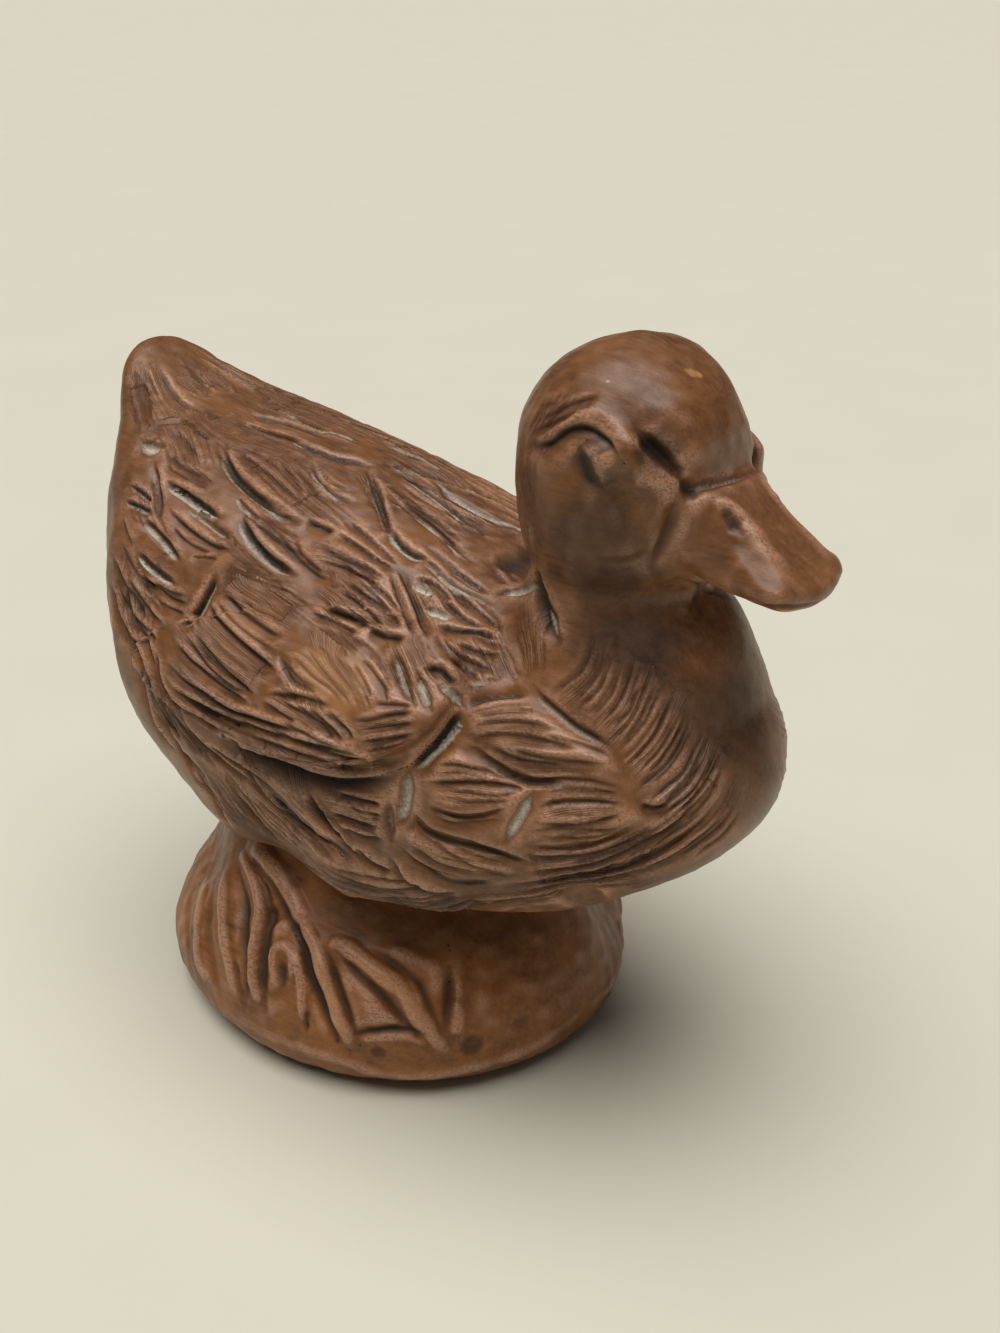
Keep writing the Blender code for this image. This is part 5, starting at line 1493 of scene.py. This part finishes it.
def add_overhead_lamp():
    """A very wide soft lamp almost straight overhead."""
    data = bpy.data.lights.new("overhead_lamp", "SUN")
    data.energy = LAMP_STRENGTH
    data.angle = LAMP_WIDTH
    data.color = WARM_WHITE
    obj = bpy.data.objects.new("overhead_lamp", data)
    obj.rotation_euler = Vector(LAMP_DIRECTION).to_track_quat("-Z", "Y").to_euler()
    bpy.context.scene.collection.objects.link(obj)


# Making

DUCK_NODES = ["body", "head", "wing_left", "wing_right", "bill", "eye_left", "eye_right"]
DUCK_STEPS = [carve_tail, carve_rump, carve_back, carve_scapulars, carve_wing, carve_flank, carve_shoulder,
              carve_breast, carve_head, carve_bill]
DUCK_SEED, DUCK_TOOL_MARKS = 11, 0.05
BASE_SEED, BASE_TOOL_MARKS = 7, 0.08

# How far pieces may reach past the boxes of their CAD nodes, in millimetres
BILL_MARGIN, WING_MARGIN, EYE_MARGIN, FOOT_MARGIN = 2, 5, 2, 4

# Numbers of the parts that a carved surface is divided into
BODY_PART, HEAD_PART, BILL_PART = 0, 1, 2
WING_PARTS = {"right": 3, "left": 4}
EYE_PARTS = {"right": 5, "left": 6}
ROCK_PART = 0
FOOT_PARTS = {"right": 1, "left": 2}


def shape_duck(skin):
    """Eases and pulls the block of the duck into the form that is carved."""
    points, edges = vectors(skin.data.vertices, "co"), edges_of(skin.data)
    for place, reach, rounds in (EYE_EASE, BREAST_EASE):
        ease_near(points, edges, closeness(folded(points), place, reach), rounds)
    ahead = smoothstep(NECK_X - NECK_EASE_RUN, NECK_X, points[:, 0])
    at_neck = bell(points[:, 2] - NECK_Z + NECK_EASE_BELOW, NECK_EASE_REACH)
    ease_near(points, edges, ahead * at_neck, NECK_EASE_ROUNDS)
    pull(points, DUCK_PULLS)
    place, reach, rounds = FAR_BREAST_EASE
    ease_near(points, edges, closeness(points, place, reach), rounds)
    reshape(skin, points)


def duck_parts(centres):
    """The number of the part that each face of the duck belongs to."""
    in_head = (centres[:, 2] > NECK_Z) & (centres[:, 0] > NECK_X)
    numbers = np.where(in_head, HEAD_PART, BODY_PART)
    numbers[seen_within(centres, HEAD, BILL_OUTLINE, "bill", BILL_MARGIN)] = BILL_PART
    for side in SIDES:
        in_wing = seen_within(centres, WING, WING_OUTLINE, "wing_" + side, WING_MARGIN)
        numbers[in_wing] = WING_PARTS[side]
        in_eye = seen_within(centres, HEAD, EYE_OUTLINE, "eye_" + side, EYE_MARGIN)
        numbers[in_eye] = EYE_PARTS[side]
    return numbers


def make_duck(wood, bill_wood, eye_wood):
    skin = block("duck", DUCK_NODES, SKIN_FACET, SKIN_EASE)
    shape_duck(skin)
    carver = Carver(skin, DUCK_SEED)
    carver.tool_marks(DUCK_TOOL_MARKS)
    for step in DUCK_STEPS:
        step(carver)
    carver.finish()
    whole = Whole(carver, duck_parts(vectors(skin.data.polygons, "center")))
    for side in SIDES:
        wing = whole.let_in("carved_wing_" + side, WING_PARTS[side], WING_DEPTH)
        dress(wing, wood, "wing_" + side)
        eye = whole.let_in("carved_eye_" + side, EYE_PARTS[side], EYE_DEPTH)
        dress(eye, eye_wood, "eye_" + side)
    body = whole.cut_off("carved_body", BODY_PART, *WING_PARTS.values())
    dress(body, wood, "body")
    head = whole.cut_off("carved_head", HEAD_PART, *EYE_PARTS.values())
    dress(head, wood, "head")
    bill = whole.cut_off("carved_bill", BILL_PART)
    dress(bill, bill_wood, "bill")
    bpy.data.objects.remove(skin)


def make_base(wood):
    rock = block("rock", ["base"], BASE_FACET, BASE_EASE)
    points = vectors(rock.data.vertices, "co")
    pull(points, BASE_PULLS)
    reshape(rock, points)
    carver = Carver(rock, BASE_SEED)
    carver.tool_marks(BASE_TOOL_MARKS)
    carve_rock(carver)
    carver.finish()
    centres = vectors(rock.data.polygons, "center")
    numbers = np.full(len(centres), ROCK_PART)
    for side in SIDES:
        in_foot = seen_within(centres, ROCK, FOOT_OUTLINE, "foot_" + side, FOOT_MARGIN)
        numbers[in_foot] = FOOT_PARTS[side]
    whole = Whole(carver, numbers)
    for side in SIDES:
        foot = whole.let_in("carved_foot_" + side, FOOT_PARTS[side], FOOT_DEPTH)
        dress(foot, wood, "foot_" + side)
    base = whole.cut_off("carved_base", ROCK_PART, *FOOT_PARTS.values())
    dress(base, wood, "base")
    bpy.data.objects.remove(rock)


def finish_hidden_pieces():
    """Finishes for the dowels and the pad, which keep their CAD forms."""
    dowel_wood, pad = bare_wood(), felt()
    for node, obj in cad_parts.items():
        if "dowel" in node or node == "felt_pad":
            obj.data.materials.clear()
            obj.data.materials.append(pad if node == "felt_pad" else dowel_wood)


def main():
    bpy.context.scene.view_settings.view_transform = "Standard"
    add_camera()
    add_floor()
    add_room_light()
    add_overhead_lamp()
    stains = {name: stained_wood(name, *stain) for name, stain in STAINS.items()}
    make_duck(stains["stained_wood"], stains["bill_wood"], stains["eye_wood"])
    make_base(stains["base_wood"])
    finish_hidden_pieces()


main()
